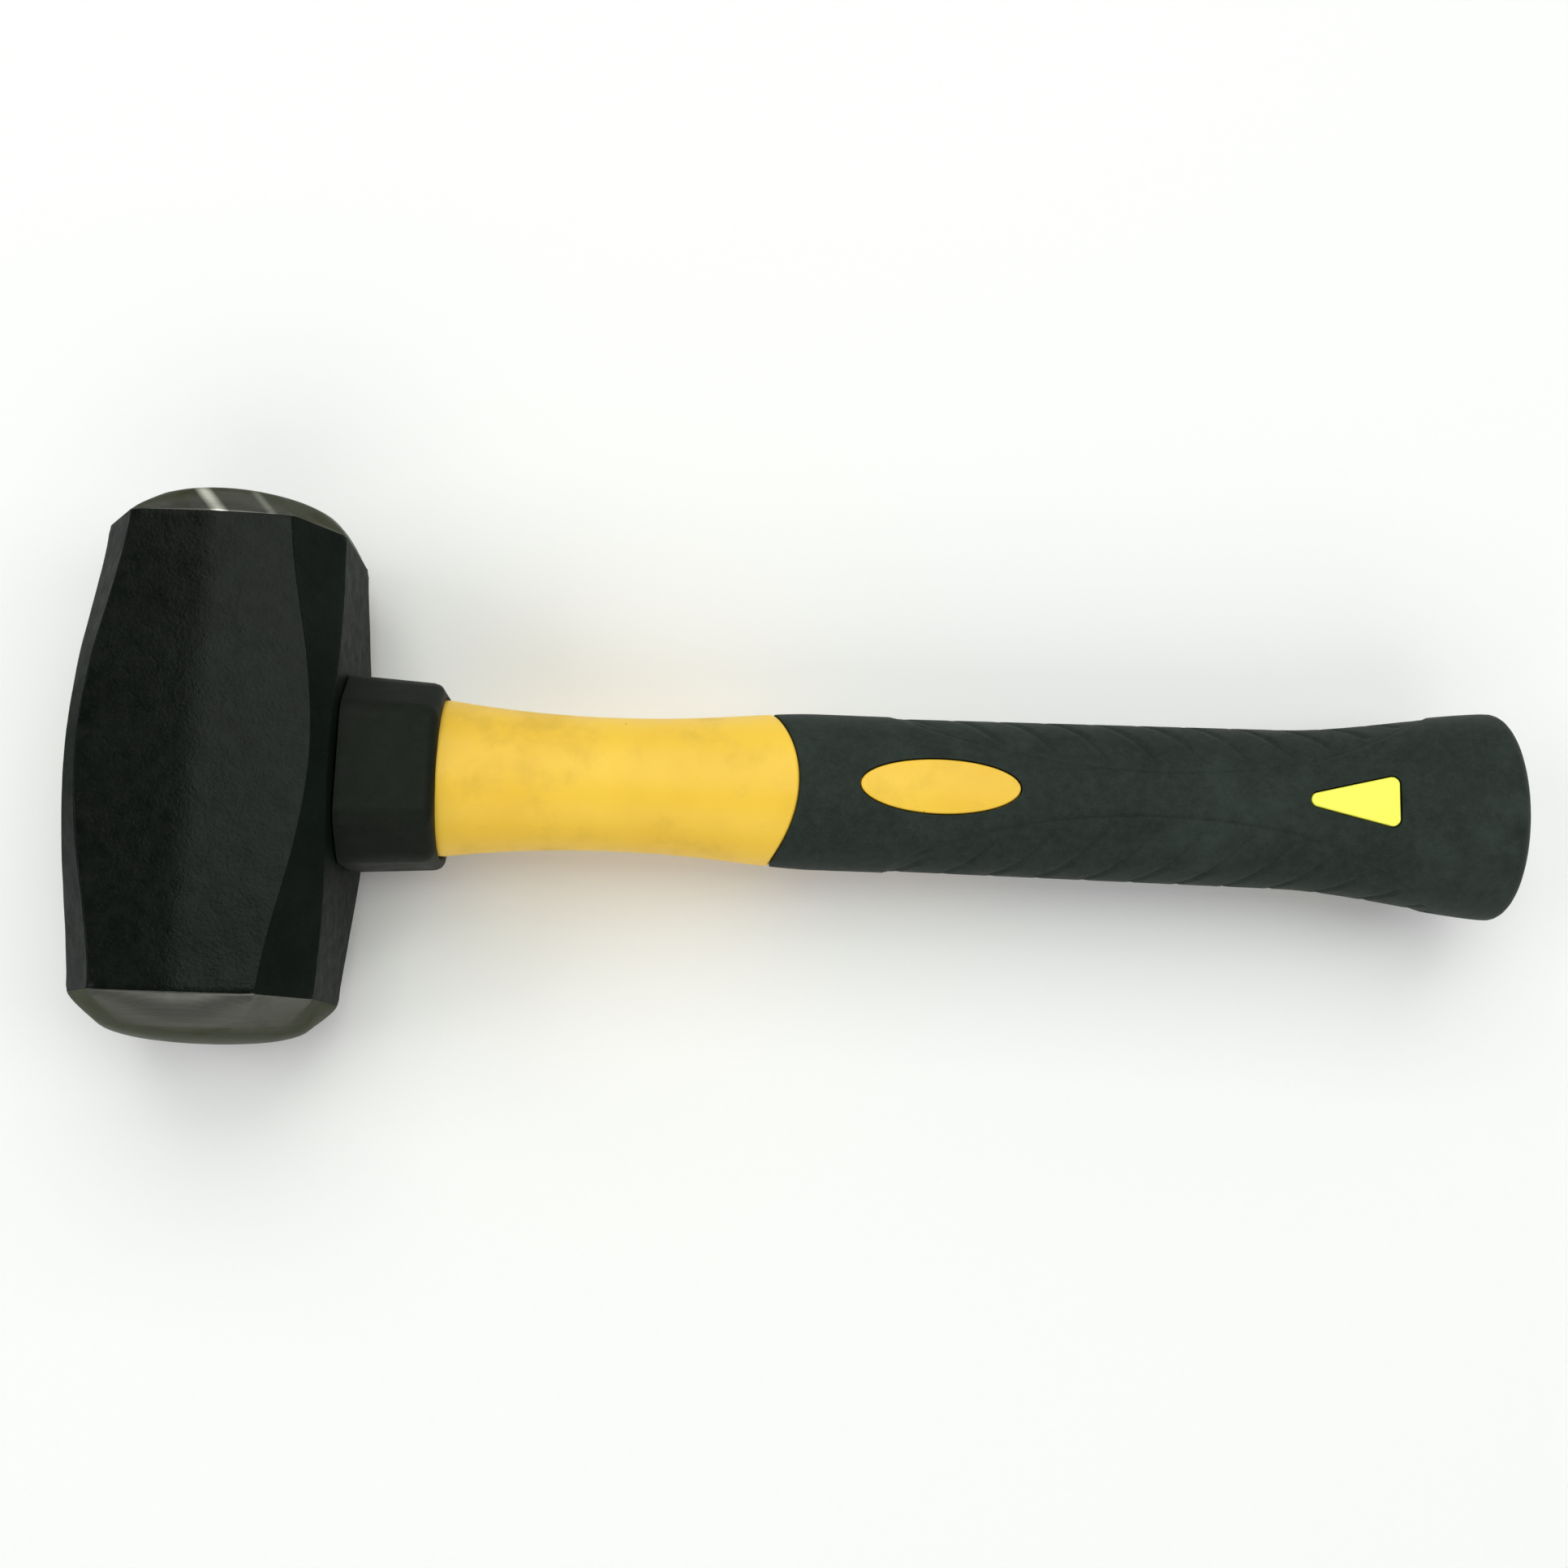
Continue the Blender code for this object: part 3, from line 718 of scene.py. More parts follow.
@dataclass(frozen=True)
class Window:
    """The plan of an opening in the grip, which a raised pad fills."""

    middle: float
    length: float
    height: float
    corner: float = 0.0
    arc_steps: int = 14
    facets: int = 112
    rim_angles: tuple[float, ...] = (0.0, 22.0, 45.0, 67.0, 90.0)
    # Each ring of the pad's top, as a share of the one outside it
    ring_shares: tuple[float, ...] = (0.86, 0.82, 0.75, 0.62, 0.4)

    def plan(self, grow: float) -> Solid:
        """The flat plan at Z = 0, grown by a clearance.

        Args:
            grow: How much larger it is all round.

        Returns:
            One face: an ellipse or, where there is a corner radius, a triangle that points at the head.
        """
        flat = bmesh.new()
        if self.corner:
            flat.faces.new([flat.verts.new((x, y, 0.0)) for x, y in self._rounded_triangle()])
        else:
            bmesh.ops.create_circle(flat, cap_ends=True, radius=1.0, segments=self.facets)
            bmesh.ops.scale(flat, vec=(self.length / 2, self.height / 2, 1.0), verts=flat.verts)
        if grow:
            self._grow(flat, grow)
        bmesh.ops.translate(flat, vec=(self.middle, 0.0, 0.0), verts=flat.verts)
        bmesh.ops.recalc_face_normals(flat, faces=flat.faces)
        for face in flat.faces:
            if face.normal.z < 0.0:
                face.normal_flip()
        return flat

    def _rounded_triangle(self) -> list[tuple[float, float]]:
        """The triangle's outline: an arc at each corner, which the straight sides join."""
        half, rise, radius = self.length / 2, self.height / 2 - self.corner, self.corner
        slope = math.atan2(rise, self.length - 2 * radius)
        arcs = (
            (half - radius, rise, 0.0, math.pi / 2 + slope),
            (radius - half, 0.0, math.pi / 2 + slope, 3 * math.pi / 2 - slope),
            (half - radius, -rise, 3 * math.pi / 2 - slope, 2 * math.pi),
        )
        outline = []
        for x, y, first, last in arcs:
            for step in range(self.arc_steps + 1):
                turn = first + (last - first) * step / self.arc_steps
                outline.append((x + radius * math.cos(turn), y + radius * math.sin(turn)))
        return outline

    @staticmethod
    def _grow(flat: Solid, grow: float) -> None:
        """Moves the outline outwards by the same distance all round."""
        moves = {}
        for vert in flat.verts:
            outwards = Vector((0.0, 0.0, 0.0))
            for edge in vert.link_edges:
                along = (edge.other_vert(vert).co - vert.co).normalized()
                across = Vector((along.y, -along.x, 0.0))
                outwards += across if across.dot(vert.co) > 0.0 else -across
            moves[vert] = outwards.normalized() * grow
        shift(moves)

    def pad(self, shape: HandleShape, cheek: Cheek, rim: float, base: float) -> Solid:
        """A plug that fills the window, with a rounded rim and a top that follows the handle.

        Args:
            shape: The handle that it is part of.
            cheek: Which face it is on.
            rim: The radius of its rim.
            base: How far from the handle's axis it starts.

        Returns:
            A closed solid.
        """
        solid = self.plan(0.0)
        face = solid.faces[:][0]
        wall = list(face.edges)
        drops = {vert: rim for vert in face.verts}
        turns = [math.radians(angle) for angle in self.rim_angles]
        for before, after in zip(turns, turns[1:]):
            inset = rim * (math.cos(before) - math.cos(after))
            bmesh.ops.inset_individual(solid, faces=[face], thickness=inset, use_even_offset=True)
            drops.update((vert, rim * (1.0 - math.sin(after))) for vert in face.verts)
        center = Matrix.Translation((-self.middle, 0.0, 0.0))
        for share in self.ring_shares:
            bmesh.ops.inset_individual(solid, faces=[face], thickness=0.0)
            bmesh.ops.scale(solid, vec=(share, share, 1.0), space=center, verts=list(face.verts))
            drops.update((vert, 0.0) for vert in face.verts)
        bmesh.ops.poke(solid, faces=[face])
        for vert in solid.verts:
            vert.co.z = shape.surface(vert.co.x, vert.co.y) - drops.get(vert, 0.0)
        down = bmesh.ops.extrude_edge_only(solid, edges=wall)["geom"]
        for vert in points_in(down):
            vert.co.z = base
        bmesh.ops.contextual_create(solid, geom=[e for e in solid.edges if e.is_boundary])
        bmesh.ops.scale(solid, vec=(1.0, 1.0, cheek.value), verts=solid.verts)
        bmesh.ops.translate(solid, vec=(0.0, 0.0, shape.axis), verts=solid.verts)
        return mended(solid)


# ---- Head --------------------------------------------


@dataclass
class HammerHead:
    """The eight sided forged barrel with its two ground ends and the eye through it."""

    piece: Piece = Piece("forged_head", "head", "head_steel", (CHEEK_PAINT, FLANK_PAINT, STEEL))
    barrel: float = 0.0884
    end_height: float = 0.0084
    depth: float = 0.0507
    width_at_eye: float = 0.0479
    width_at_ends: float = 0.0449
    land: float = 0.0366
    corner_at_eye: tuple[float, float] = (0.0029, 0.0042)
    corner_at_ends: tuple[float, float] = (0.0078, 0.0131)
    draw: float = 1.3
    draft: float = math.radians(3.2)
    edge_radius: float = 0.0010
    cheek_slope: float = math.cos(math.radians(12))
    eye_height: float = 0.0285
    eye_flare: float = 0.0025
    eye_ovality: float = 0.754
    mouth_radius: float = 0.0009
    # How far the eye's cutter runs on past each mouth: (outwards, along X)
    eye_overrun: tuple[float, float] = (0.003, 0.0021)
    # The forged skin: how far it sinks, its swells (lumps to the metre, size), and where it fades out
    skin_drop: float = 0.00008
    swells: tuple[tuple[float, float], ...] = ((95.0, 0.00009), (260.0, 0.00004))
    true_margin: float = 0.004
    facet_cuts: int = 15
    barrel_rings: int = 36
    end_rings: int = 18
    # Ground end, from the barrel outwards: (share of the height, share of the section, roundness)
    crown: tuple[tuple[float, float, float], ...] = (
        (0.0, 1.0, 0.0),
        (0.21, 0.965, 0.3),
        (0.50, 0.885, 0.7),
        (0.74, 0.78, 1.0),
        (0.905, 0.55, 1.0),
        (0.985, 0.25, 1.0),
        (1.0, 0.03, 1.0),
    )
    middle: Vector = field(default_factory=frame_middle)

    def build(self) -> bpy.types.Object:
        """Builds the head, with ground steel on its ends."""
        solid = self._prism()
        edges = [edge for edge in solid.edges if self._is_corner(edge)]
        self._shape(solid)
        rounded_rim(solid, edges, self.edge_radius, 3)
        self._roughen(solid)
        solid = combined(mended(solid), self._eye(), Cut.REMOVE)
        for face in solid.faces:
            on_cheek = abs(face.normal.z) > self.cheek_slope
            on_end = abs(face.calc_center_median().y) > self.barrel / 2
            face.material_index = 2 if on_end else 0 if on_cheek else 1
        return self.piece.finish(solid)

    def _prism(self) -> Solid:
        """A plain octagonal prism along Y, one unit long for each ring of points."""
        rings = self.barrel_rings + self.end_rings
        solid = bmesh.new()
        bmesh.ops.create_circle(solid, cap_ends=True, radius=1.0, segments=8)
        eighth = Matrix.Rotation(math.pi / 8, 3, "Z")
        bmesh.ops.rotate(solid, cent=(0, 0, 0), matrix=eighth, verts=solid.verts)
        bmesh.ops.subdivide_edges(solid, edges=solid.edges, cuts=self.facet_cuts)
        lid = bmesh.ops.extrude_face_region(solid, geom=list(solid.faces))["geom"]
        bmesh.ops.translate(solid, vec=(0.0, 0.0, 2.0 * rings), verts=points_in(lid))
        bmesh.ops.translate(solid, vec=(0.0, 0.0, -rings), verts=solid.verts)
        lay_down = Matrix.Rotation(-math.pi / 2, 3, "X")
        bmesh.ops.rotate(solid, cent=(0, 0, 0), matrix=lay_down, verts=solid.verts)
        long_edges = [edge for edge in solid.edges if edge.calc_length() > rings]
        bmesh.ops.subdivide_edges(solid, edges=long_edges, cuts=2 * rings - 1, use_grid_fill=True)
        return solid

    def _is_corner(self, edge: Edge) -> bool:
        """Whether an edge of the plain prism runs along a corner between two facets of the barrel."""
        a, b = (vert.co for vert in edge.verts)
        along = abs(a.y - b.y) > 0.5 and max(abs(a.y), abs(b.y)) <= self.barrel_rings + 2.5
        turn = (math.atan2(a.z, a.x) / (math.pi / 4)) % 1.0
        return along and abs(turn - 0.5) < 0.001

    def _shape(self, solid: Solid) -> None:
        """Moves each point of the plain prism to its place on the head."""
        for vert in solid.verts:
            turn = math.atan2(vert.co.z, vert.co.x) / (math.pi / 4)
            facet = math.floor(turn + 0.5 - 1e-6)
            share = 0.5 + 0.5 * math.tan((turn - facet) * math.pi / 4) / math.tan(math.pi / 8)
            ring = round(vert.co.y)
            if abs(ring) <= self.barrel_rings:
                y = ring / self.barrel_rings * self.barrel / 2
                x, z = self._on_barrel(y, facet % 8, share)
            else:
                y, x, z = self._on_end(ring, facet % 8, share)
            vert.co = self.middle + Vector((x, y, z))

    def _on_barrel(self, y: float, facet: int, share: float) -> tuple[float, float]:
        """x and z on the barrel's section at y.

        Args:
            y: Distance along the head from its middle.
            facet: Which of the eight facets, counted from the handle's side towards the upper cheek.
            share: How far along that facet, from 0 to 1.

        Returns:
            The point, from the middle of the section.
        """
        off_land = max(abs(y) - self.land / 2, 0.0)
        draw = (off_land / (self.barrel / 2 - self.land / 2)) ** self.draw
        cut = smooth_share(abs(y), 0.0, self.barrel / 2)
        half_width = (self.width_at_eye + (self.width_at_ends - self.width_at_eye) * draw) / 2
        half_depth = self.depth / 2
        corner_x, corner_z = (
            eye + (end - eye) * cut for eye, end in zip(self.corner_at_eye, self.corner_at_ends)
        )
        inner_width, inner_depth = half_width - corner_x, half_depth - corner_z
        edge_depth = half_depth - inner_width * math.tan(self.draft)
        corners = [
            (half_width, -inner_depth), (half_width, inner_depth),
            (inner_width, edge_depth), (-inner_width, edge_depth),
            (-half_width, inner_depth), (-half_width, -inner_depth),
            (-inner_width, -edge_depth), (inner_width, -edge_depth),
        ]
        (x0, z0), (x1, z1) = corners[facet], corners[(facet + 1) % 8]
        x, z = x0 + (x1 - x0) * share, z0 + (z1 - z0) * share
        if facet in (2, 6):
            z = math.copysign(half_depth - abs(x) * math.tan(self.draft), z)
        return x, z

    def _on_end(self, ring: int, facet: int, share: float) -> tuple[float, float, float]:
        """y, x and z of a point on a ground end, whose rings lie beyond the barrel's."""
        place = (abs(ring) - self.barrel_rings) / self.end_rings * (len(self.crown) - 1)
        rise, size, roundness = catmull_rom(self.crown, place)
        x, z = self._on_barrel(self.barrel / 2, facet, share)
        turn = math.atan2(z / self.depth, x / self.width_at_ends)
        bow_x, bow_z = self.width_at_ends / 2 * math.cos(turn), self.depth / 2 * math.sin(turn)
        x, z = x + (bow_x - x) * roundness, z + (bow_z - z) * roundness
        return math.copysign(self.barrel / 2 + self.end_height * rise, ring), size * x, size * z

    def _roughen(self, solid: Solid) -> None:
        """Gives the forged skin its slight unevenness, and leaves the ground ends true."""
        solid.normal_update()
        moves = {}
        for vert in solid.verts:
            half = self.barrel / 2
            forged = 1.0 - smooth_share(abs(vert.co.y), half - self.true_margin, half)
            swell = sum(noise.noise(vert.co * lumps) * size for lumps, size in self.swells)
            moves[vert] = vert.normal * (forged * (swell - self.skin_drop))
        shift(moves)

    def _eye(self) -> Solid:
        """The solid that the eye removes: wider at the far mouth, with both mouths rounded."""
        half = self.width_at_eye / 2
        outwards, along = self.eye_overrun
        profile: Profile = []
        for side in (1.0, -1.0):
            x = side * half
            radius = self.eye_height / 2 + self.eye_flare / 2 * (half - x) / self.width_at_eye
            lip = [(radius + outwards, x + side * along), (radius + self.mouth_radius, x)]
            for angle in map(math.radians, (30.0, 60.0, 90.0)):
                out = radius + self.mouth_radius * (1.0 - math.sin(angle))
                lip.append((out, x - side * self.mouth_radius * (1.0 - math.cos(angle))))
            profile += lip if side > 0 else lip[::-1]
        profile = [(0.0, profile[0][1])] + profile + [(0.0, profile[-1][1])]
        return turned(profile, self.middle.z, ovality=self.eye_ovality)


@dataclass
class EyePotting:
    """The glass fibre rod and the resin that holds it in the eye."""

    shape: HandleShape
    rod: Piece = Piece("fibreglass_rod", "core_rod", "fibreglass", (ROD,))
    resin: Piece = Piece("eye_resin_fill", "epoxy_fill", "epoxy_resin", (RESIN,))
    rod_height: float = 0.022
    rod_setback: float = 0.0007
    rod_corner: float = 0.0005
    # From the rod's end to the end of the jacket's core
    rod_end_gap: float = 0.004
    ovality: float = 0.754
    bore_gap: float = 0.00012
    resin_wall: float = 0.00265
    eye_flare: float = 0.0025
    resin_setback: float = 0.0013
    meniscus: float = 0.0005

    def build(self) -> list[bpy.types.Object]:
        """Builds the rod and the resin ring."""
        return [self._build_rod(), self._build_resin()]

    def _build_rod(self) -> bpy.types.Object:
        """A long oval rod with broken end edges."""
        far, near = self.rod_setback - self.shape.face, self.shape.core_end() - self.rod_end_gap
        radius, corner = self.rod_height / 2, self.rod_corner
        profile = [
            (0.0, near), (radius * 0.6, near), (radius - corner, near), (radius, near - corner),
            (radius, self.shape.face), (radius, far + corner),
            (radius - corner * 0.3, far + corner * 0.3), (radius - corner, far),
            (radius * 0.6, far), (0.0, far),
        ]
        return self.rod.finish(turned(profile, self.shape.axis, ovality=self.ovality))

    def _build_resin(self) -> bpy.types.Object:
        """A ring whose two ends dip between the rod and the eye."""
        bore = self.rod_height / 2 + self.bore_gap
        near = self.shape.face - self.resin_setback
        profile: Profile = []
        for x, side in ((near, 1.0), (-near, -1.0)):
            grow = self.eye_flare / 2 * (self.shape.face - x) / (2 * self.shape.face)
            outer = bore + self.resin_wall + FIT + grow
            dip = []
            for share in (0.0, 0.12, 0.3, 0.5, 0.7, 0.88, 1.0):
                depth = self.meniscus * math.sin(math.pi * share)
                dip.append((bore + (outer - bore) * share, x - side * depth))
            profile += dip if side > 0 else dip[::-1]
        solid = turned(profile, self.shape.axis, ovality=self.ovality, closed=True)
        return self.resin.finish(solid)


# ---- Handle ------------------------------------------


@dataclass
class HandleJacket:
    """The yellow jacket: the neck, its core inside the grip, and the oval pads on it."""

    shape: HandleShape
    window: Window
    piece: Piece = Piece("yellow_jacket", "handle_jacket", "jacket_yellow", (AMBER,))
    rod_radius: float = 0.0113
    rod_ovality: float = 0.754
    neck_steps: int = 64
    facets: int = 144
    lip: float = 0.0006
    core_corner: float = 0.0004
    # From the bore's end to the end of the core
    bore_stop: float = 0.0037
    # How deep the pads are rooted in the core
    pad_root: float = 0.0006
    bow_length: float = 0.035

    def build(self) -> bpy.types.Object:
        """Builds the jacket."""
        solid = self._body()
        for cheek in Cheek:
            base = self.shape.core_depth() - self.pad_root
            pad = self.window.pad(self.shape, cheek, PAD_RIM, base)
            solid = combined(solid, pad, Cut.JOIN)
        return self.piece.finish(mended(solid))

    def _body(self) -> Solid:
        """The neck and the core, turned in one, with the rod's bore up the middle."""
        shape = self.shape
        start, end = shape.face + FIT, shape.edge_at_sides() - MEETING_GAP
        core, core_end, corner = shape.core_height / 2, shape.core_end(), self.core_corner
        profile = [(0.0, core_end), (core - corner, core_end), (core, core_end - corner)]
        for step in range(1, CORE_STEPS + 1):
            profile.append((core, core_end + (end - core_end) * step / CORE_STEPS))
        profile += shape.lip(end, -self.lip, (90.0, 60.0, 30.0, 0.0))
        reach = end - self.lip - start
        for step in range(1, self.neck_steps + 1):
            x = end - self.lip - reach * step / self.neck_steps
            profile.append((shape.half_height(x), x))
        bore_end = core_end - self.bore_stop
        profile += [(self.rod_radius, start), (self.rod_radius, bore_end), (0.0, bore_end)]
        solid = turned(profile, shape.axis, self.facets)
        bore, outer = [], []
        for vert in solid.verts:
            radius = math.hypot(vert.co.y, vert.co.z - shape.axis)
            inside = radius < self.rod_radius + NEAR and vert.co.x < bore_end + NEAR
            (bore if inside else outer).append(vert)
        flattened(solid, bore, shape.axis, self.rod_ovality)
        flattened(solid, outer, shape.axis, shape.ovality)
        skin = [vert for vert in solid.verts if self._is_skin(vert.co, end)]
        shape.bow(skin, end - self.bow_length, end - self.lip)
        return solid

    def _is_skin(self, place: Vector, end: float) -> bool:
        """Whether a point is on the neck or its end, which follow the grip's arc, and not in the bore."""
        across = math.hypot(place.y, (place.z - self.shape.axis) / self.shape.ovality)
        outside = across >= self.shape.core_height / 2 + NEAR
        return place.x <= end + NEAR and (outside or abs(place.x - end) < NEAR)


@dataclass
class NeckGuard:
    """The black eight sided rubber collar against the head."""

    shape: HandleShape
    piece: Piece = Piece("rubber_neck_guard", "neck_guard", "guard_rubber", (GUARD,))
    length: float = 0.0181
    corner: float = 0.0075
    taper: float = 0.0010
    edge_radius: float = 0.0022
    mouth: float = 0.0007
    clearance: float = 0.00015
    # How far the bore's cutter runs on past each end
    overrun: float = 0.002
    facets: int = 120

    def build(self) -> bpy.types.Object:
        """Builds the collar."""
        shape = self.shape
        start = shape.face + FIT
        low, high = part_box("neck_guard")
        height, depth = high.y - low.y, high.z - low.z
        solid = bmesh.new()
        bmesh.ops.create_cube(solid, size=1.0)
        bmesh.ops.scale(solid, vec=(self.length, height, depth), verts=solid.verts)
        lengthwise = [e for e in solid.edges if abs(e.verts[0].co.x - e.verts[1].co.x) > self.length / 2]
        rounded_rim(solid, lengthwise, self.corner, 1)
        outer = [vert for vert in solid.verts if vert.co.x > 0.0]
        draw_in = (1.0, 1.0 - 2.0 * self.taper / height, 1.0 - 2.0 * self.taper / depth)
        bmesh.ops.scale(solid, vec=draw_in, verts=outer)
        bmesh.ops.translate(solid, vec=(start + self.length / 2, 0.0, shape.axis), verts=solid.verts)
        soft = [e for e in solid.edges if max(v.co.x for v in e.verts) > start + self.length / 2]
        rounded_rim(solid, soft, self.edge_radius, 4)
        solid = combined(mended(solid), self._bore(start), Cut.REMOVE)
        return self.piece.finish(mended(solid))

    def _bore(self, start: float) -> Solid:
        """The jacket's shape with a small clearance, opening out at the collar's outer end."""
        end = start + self.length
        first, reach = start - self.overrun, self.length + 2 * self.overrun
        profile: Profile = [(0.0, first)]
        for step in range(CORE_STEPS + 1):
            x = first + reach * step / CORE_STEPS
            spread = self.mouth * max(0.0, (x - end + self.mouth) / self.mouth)
            profile.append((self.shape.half_height(max(x, start)) + self.clearance + spread, x))
        profile.append((0.0, profile[-1][1]))
        return turned(profile, self.shape.axis, self.facets, self.shape.ovality)


@dataclass
class GripSleeve:
    """The charcoal rubber grip, with its recessed flanks, slanted grooves and windows."""

    shape: HandleShape
    windows: tuple[Window, ...]
    piece: Piece = Piece("rubber_grip", "grip_sleeve", "grip_rubber", (GRIP,))
    facets: int = 288
    pitch: float = 0.0007
    lip: float = 0.0006
    window_gap: float = 0.00026
    window_rim: float = 0.00022
    panel_middle: float = 0.158
    panel_half_length: float = 0.054
    panel_reach: float = 0.0203
    panel_depth: float = 0.00032
    panel_blend: float = 0.0008
    seam_depth: float = 0.00045
    seam_half_width: float = 0.0007
    groove_spacing: float = 0.0092
    groove_start: float = 0.1332
    groove_depth: float = 0.00042
    groove_half_width: float = 0.0011
    groove_slant: float = 0.75
    # The grooves start between these two distances inside the panel's edge
    groove_fade: tuple[float, float] = (0.001, 0.003)
    # The seam fades out over this share of the panel's half length
    seam_fade: float = 0.12
    # Only points this far outside the bore count as skin
    skin_margin: float = 0.0004
    bow_length: float = 0.024
    butt_steps: int = 14
    weld: float = 0.00003
    rim_angle: float = math.radians(50)
    rim_reach: float = 0.0003

    def build(self) -> bpy.types.Object:
        """Builds the grip."""
        solid = self._body()
        for window in self.windows:
            opening = prism(window.plan(self.window_gap), 0.0, 2.0 * self.shape.axis)
            solid = combined(solid, opening, Cut.REMOVE)
        bmesh.ops.remove_doubles(solid, verts=solid.verts, dist=self.weld)
        bmesh.ops.recalc_face_normals(solid, faces=solid.faces)
        rounded_rim(solid, [e for e in solid.edges if self._is_window_rim(e)], self.window_rim, 2)
        return self.piece.finish(mended(solid))

    def _body(self) -> Solid:
        """The sleeve without its windows: a closed solid with the core's bore in it."""
        shape = self.shape
        start = shape.edge_at_sides() + MEETING_GAP
        shoulder = shape.butt - shape.rounding
        profile: Profile = [(0.0, shape.butt)]
        for step in range(1, self.butt_steps + 1):
            angle = math.pi / 2 * step / self.butt_steps
            x = shoulder + shape.rounding * math.cos(angle) ** (2.0 / shape.fullness)
            profile.append((shape.half_height(x) * math.sin(angle) ** (2.0 / shape.fullness), x))
        count = math.ceil((shoulder - start - self.lip) / self.pitch)
        for step in range(1, count + 1):
            x = shoulder + (start + self.lip - shoulder) * step / count
            profile.append((shape.half_height(x), x))
        profile += shape.lip(start, self.lip, (30.0, 60.0, 90.0))
        bore, bore_end = shape.core_height / 2 + FIT, shape.core_end() + FIT
        profile += [(bore, start), (bore, bore_end), (0.0, bore_end)]
        solid = turned(profile, shape.axis, self.facets, shape.ovality)
        self._carve(solid, bore)
        shape.bow(solid.verts, start + self.bow_length, start)
        return solid

    def _carve(self, solid: Solid, bore: float) -> None:
        """Sinks the flank panels and their grooves into the outer skin."""
        solid.normal_update()
        axis = self.shape.axis
        moves = {}
        for vert in solid.verts:
            y, z = abs(vert.co.y), (vert.co.z - axis) / self.shape.ovality
            radius = math.hypot(y, z)
            if radius < bore + self.skin_margin or vert.co.x > self.shape.butt - self.shape.rounding:
                continue
            around = abs(math.atan2(z, y)) * radius
            moves[vert] = vert.normal * -self.sink(vert.co.x, around)
        shift(moves)

    def sink(self, x: float, around: float) -> float:
        """How deep the skin lies below the handle's plain shape.

        Args:
            x: Place along the handle.
            around: Distance round the handle from the middle of the flank.

        Returns:
            A depth in metres.
        """
        along = (x - self.shape.face - self.panel_middle) / self.panel_half_length
        if abs(along) >= 1.0:
            return 0.0
        inside = self.panel_reach * math.sqrt(1.0 - along * along) - around
        panel = smooth_share(inside, 0.0, self.panel_blend)
        slanted = x - self.shape.face - self.groove_start - self.groove_slant * around
        off_line = abs((slanted / self.groove_spacing + 0.5) % 1.0 - 0.5) * self.groove_spacing
        groove = 1.0 - smooth_share(off_line, 0.0, self.groove_half_width)
        seam = 1.0 - smooth_share(abs(inside), 0.0, self.seam_half_width)
        fading = smooth_share(1.0 - abs(along), 0.0, self.seam_fade)
        cuts = smooth_share(inside, *self.groove_fade) * groove * self.groove_depth
        return panel * self.panel_depth + seam * fading * self.seam_depth + cuts

    def _is_window_rim(self, edge: Edge) -> bool:
        """Whether an edge is where a window's wall meets the outer skin."""
        if not edge.is_manifold or edge.calc_face_angle(0.0) < self.rim_angle:
            return False
        middle = (edge.verts[0].co + edge.verts[1].co) / 2
        if not any(abs(middle.x - window.middle) < window.length for window in self.windows):
            return False
        depth = abs(middle.z - self.shape.axis)
        return depth > self.shape.surface(middle.x, middle.y) - self.rim_reach


@dataclass
class TriangleInlay:
    """The lemon yellow triangle near the butt, on one face of the grip."""

    shape: HandleShape
    window: Window
    cheek: Cheek
    root_gap: float = 0.0004

    def build(self) -> bpy.types.Object:
        """Builds the inlay."""
        side = self.cheek.name.lower()
        piece = Piece(f"triangle_pad_{side}", f"triangle_inlay_{side}", "inlay_lemon", (LEMON,))
        base = self.shape.core_depth() + self.root_gap
        return piece.finish(self.window.pad(self.shape, self.cheek, PAD_RIM, base))


# ---- Studio ------------------------------------------


@dataclass(frozen=True)
class SoftBox:
    """An oblong area light that looks at one point."""

    name: str
    place: tuple[float, float, float]
    target: tuple[float, float, float]
    size: tuple[float, float]
    power: float
    color: Color = (1.0, 1.0, 1.0)

    def build(self) -> None:
        """Adds the light."""
        lamp = bpy.data.lights.new(self.name, "AREA")
        lamp.shape = "RECTANGLE"
        lamp.size, lamp.size_y = self.size
        lamp.energy, lamp.color = self.power, self.color
        obj = bpy.data.objects.new(self.name, lamp)
        obj.location = self.place
        obj.rotation_euler = (Vector(self.target) - Vector(self.place)).to_track_quat("-Z", "Y").to_euler()
        bpy.context.scene.collection.objects.link(obj)


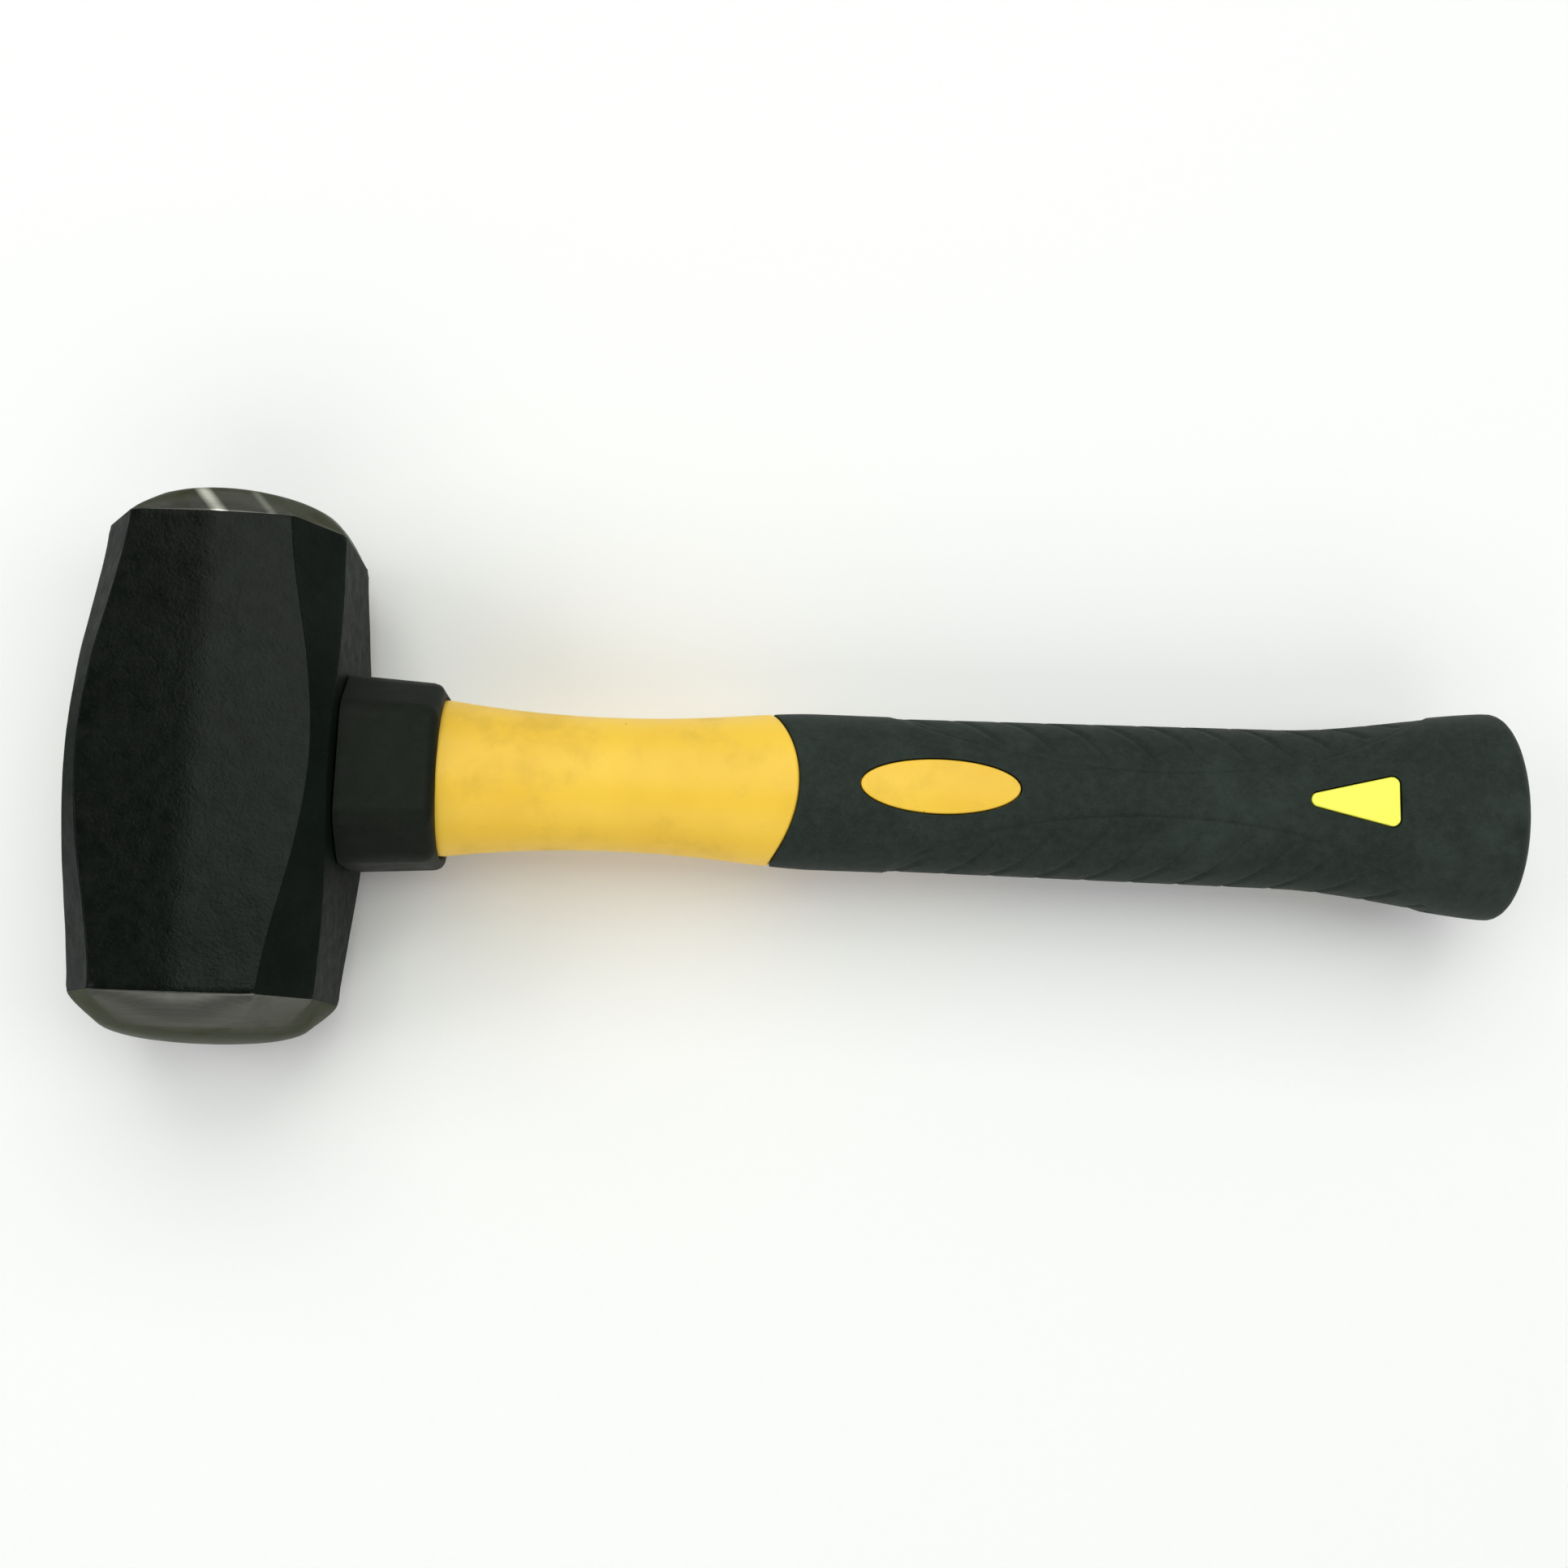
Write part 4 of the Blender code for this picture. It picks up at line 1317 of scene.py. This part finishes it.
@dataclass
class Studio:
    """The pale floor, the soft light and the camera."""

    floor_half: float = 4.0
    zenith: float = 0.05
    horizon: float = 0.50
    # The sky's brightness changes between these two heights of view, where 1 is straight up
    sky_heights: tuple[float, float] = (0.25, 0.92)
    eye: tuple[float, float, float] = (0.09465, -0.06093, 0.38605)
    right: tuple[float, float, float] = (0.9986, 0.0307, 0.0430)
    up: tuple[float, float, float] = (-0.0375, 0.9849, 0.1687)
    lens: float = 42.9
    sensor: float = 36.0
    lights: tuple[SoftBox, ...] = (
        SoftBox("overhead", (0.055, 0.20, 1.25), (0.055, 0.20, 0.0), (0.75, 0.60), 3.9, (0.90, 1.0, 0.88)),
        SoftBox("key_from_the_top", (0.10, 0.85, 1.20), (0.08, 0.0, 0.0), (1.4, 0.8), 7.4),
        SoftBox("fill_from_below", (0.10, -1.05, 1.05), (0.08, 0.0, 0.0), (1.6, 0.9), 6.0),
        SoftBox("fill_from_the_butt", (0.90, 0.0, 1.30), (0.08, 0.0, 0.0), (0.6, 0.9), 3.8),
        SoftBox("fill_from_the_head", (-1.15, 0.0, 0.95), (0.08, 0.0, 0.0), (0.9, 0.6), 4.6),
    )

    @staticmethod
    def clear() -> None:
        """Removes the startup objects."""
        for obj in list(bpy.data.objects):
            bpy.data.objects.remove(obj, do_unlink=True)

    def build(self) -> None:
        """Sets the studio up."""
        self._floor()
        self._sky()
        for light in self.lights:
            light.build()
        self._camera()
        bpy.context.scene.view_settings.view_transform = "Standard"

    def _floor(self) -> None:
        """A large sheet of paper at the object's foot."""
        sheet = bmesh.new()
        bmesh.ops.create_grid(sheet, x_segments=1, y_segments=1, size=self.floor_half)
        floor = to_object("studio_floor", sheet)
        floor.data.materials.append(PAPER.material())
        floor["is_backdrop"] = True

    def _sky(self) -> None:
        """Soft light all round, brighter near the horizon than overhead."""
        world = bpy.data.worlds.new("studio_sky")
        bpy.context.scene.world = world
        world.use_nodes = True
        tree = world.node_tree
        direction = tree.nodes.new("ShaderNodeTexCoord").outputs["Generated"]
        split = tree.nodes.new("ShaderNodeSeparateXYZ")
        level = tree.nodes.new("ShaderNodeMapRange")
        level.interpolation_type = "SMOOTHSTEP"
        low, high = self.sky_heights
        limits = {"From Min": low, "From Max": high, "To Min": self.horizon, "To Max": self.zenith}
        for name, value in limits.items():
            level.inputs[name].default_value = value
        tree.links.new(direction, split.inputs[0])
        tree.links.new(split.outputs["Z"], level.inputs["Value"])
        background = tree.nodes["Background"]
        background.inputs["Color"].default_value = (1.0, 1.0, 1.0, 1.0)
        tree.links.new(level.outputs["Result"], background.inputs["Strength"])

    def _camera(self) -> None:
        """A close camera nearly above the hammer."""
        lens = bpy.data.cameras.new("camera")
        lens.lens, lens.sensor_width = self.lens, self.sensor
        lens.clip_start, lens.clip_end = 0.01, 50.0
        camera = bpy.data.objects.new("camera", lens)
        right = Vector(self.right).normalized()
        up = (Vector(self.up) - right * right.dot(Vector(self.up))).normalized()
        back = right.cross(up)
        turn = Matrix((right, up, back)).transposed()
        camera.matrix_world = Matrix.Translation(self.eye) @ turn.to_4x4()
        bpy.context.scene.collection.objects.link(camera)
        bpy.context.scene.camera = camera


# ---- Assembly ----------------------------------------


def corners() -> list[list[float]]:
    """The lowest and highest corners of everything there is, as plain lists."""
    low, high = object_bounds()
    return [[float(value) for value in low], [float(value) for value in high]]


def triangle_window() -> Window:
    """The triangular window, where the frame's inlay is."""
    low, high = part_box("triangle_inlay_front")
    length = min(high.x - low.x, TRIANGLE_LENGTH)
    return Window((low.x + high.x) / 2, length, high.y - low.y, corner=TRIANGLE_CORNER)


def main() -> None:
    """Builds the studio and every piece of the hammer."""
    logging.basicConfig(level=logging.INFO, format="%(name)s: %(message)s")
    Studio.clear()
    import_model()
    cad_box = corners()
    shape = HandleShape(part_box("head")[1].x, cad_box[1][0], frame_middle().z)
    oval = Window(middle=shape.face + 0.1137, length=0.0305, height=0.0105)
    triangle = triangle_window()
    HammerHead().build()
    EyePotting(shape).build()
    HandleJacket(shape, oval).build()
    NeckGuard(shape).build()
    GripSleeve(shape, (oval, triangle)).build()
    for cheek in Cheek:
        TriangleInlay(shape, triangle, cheek).build()
    Studio().build()


if __name__ == "__main__":
    main()
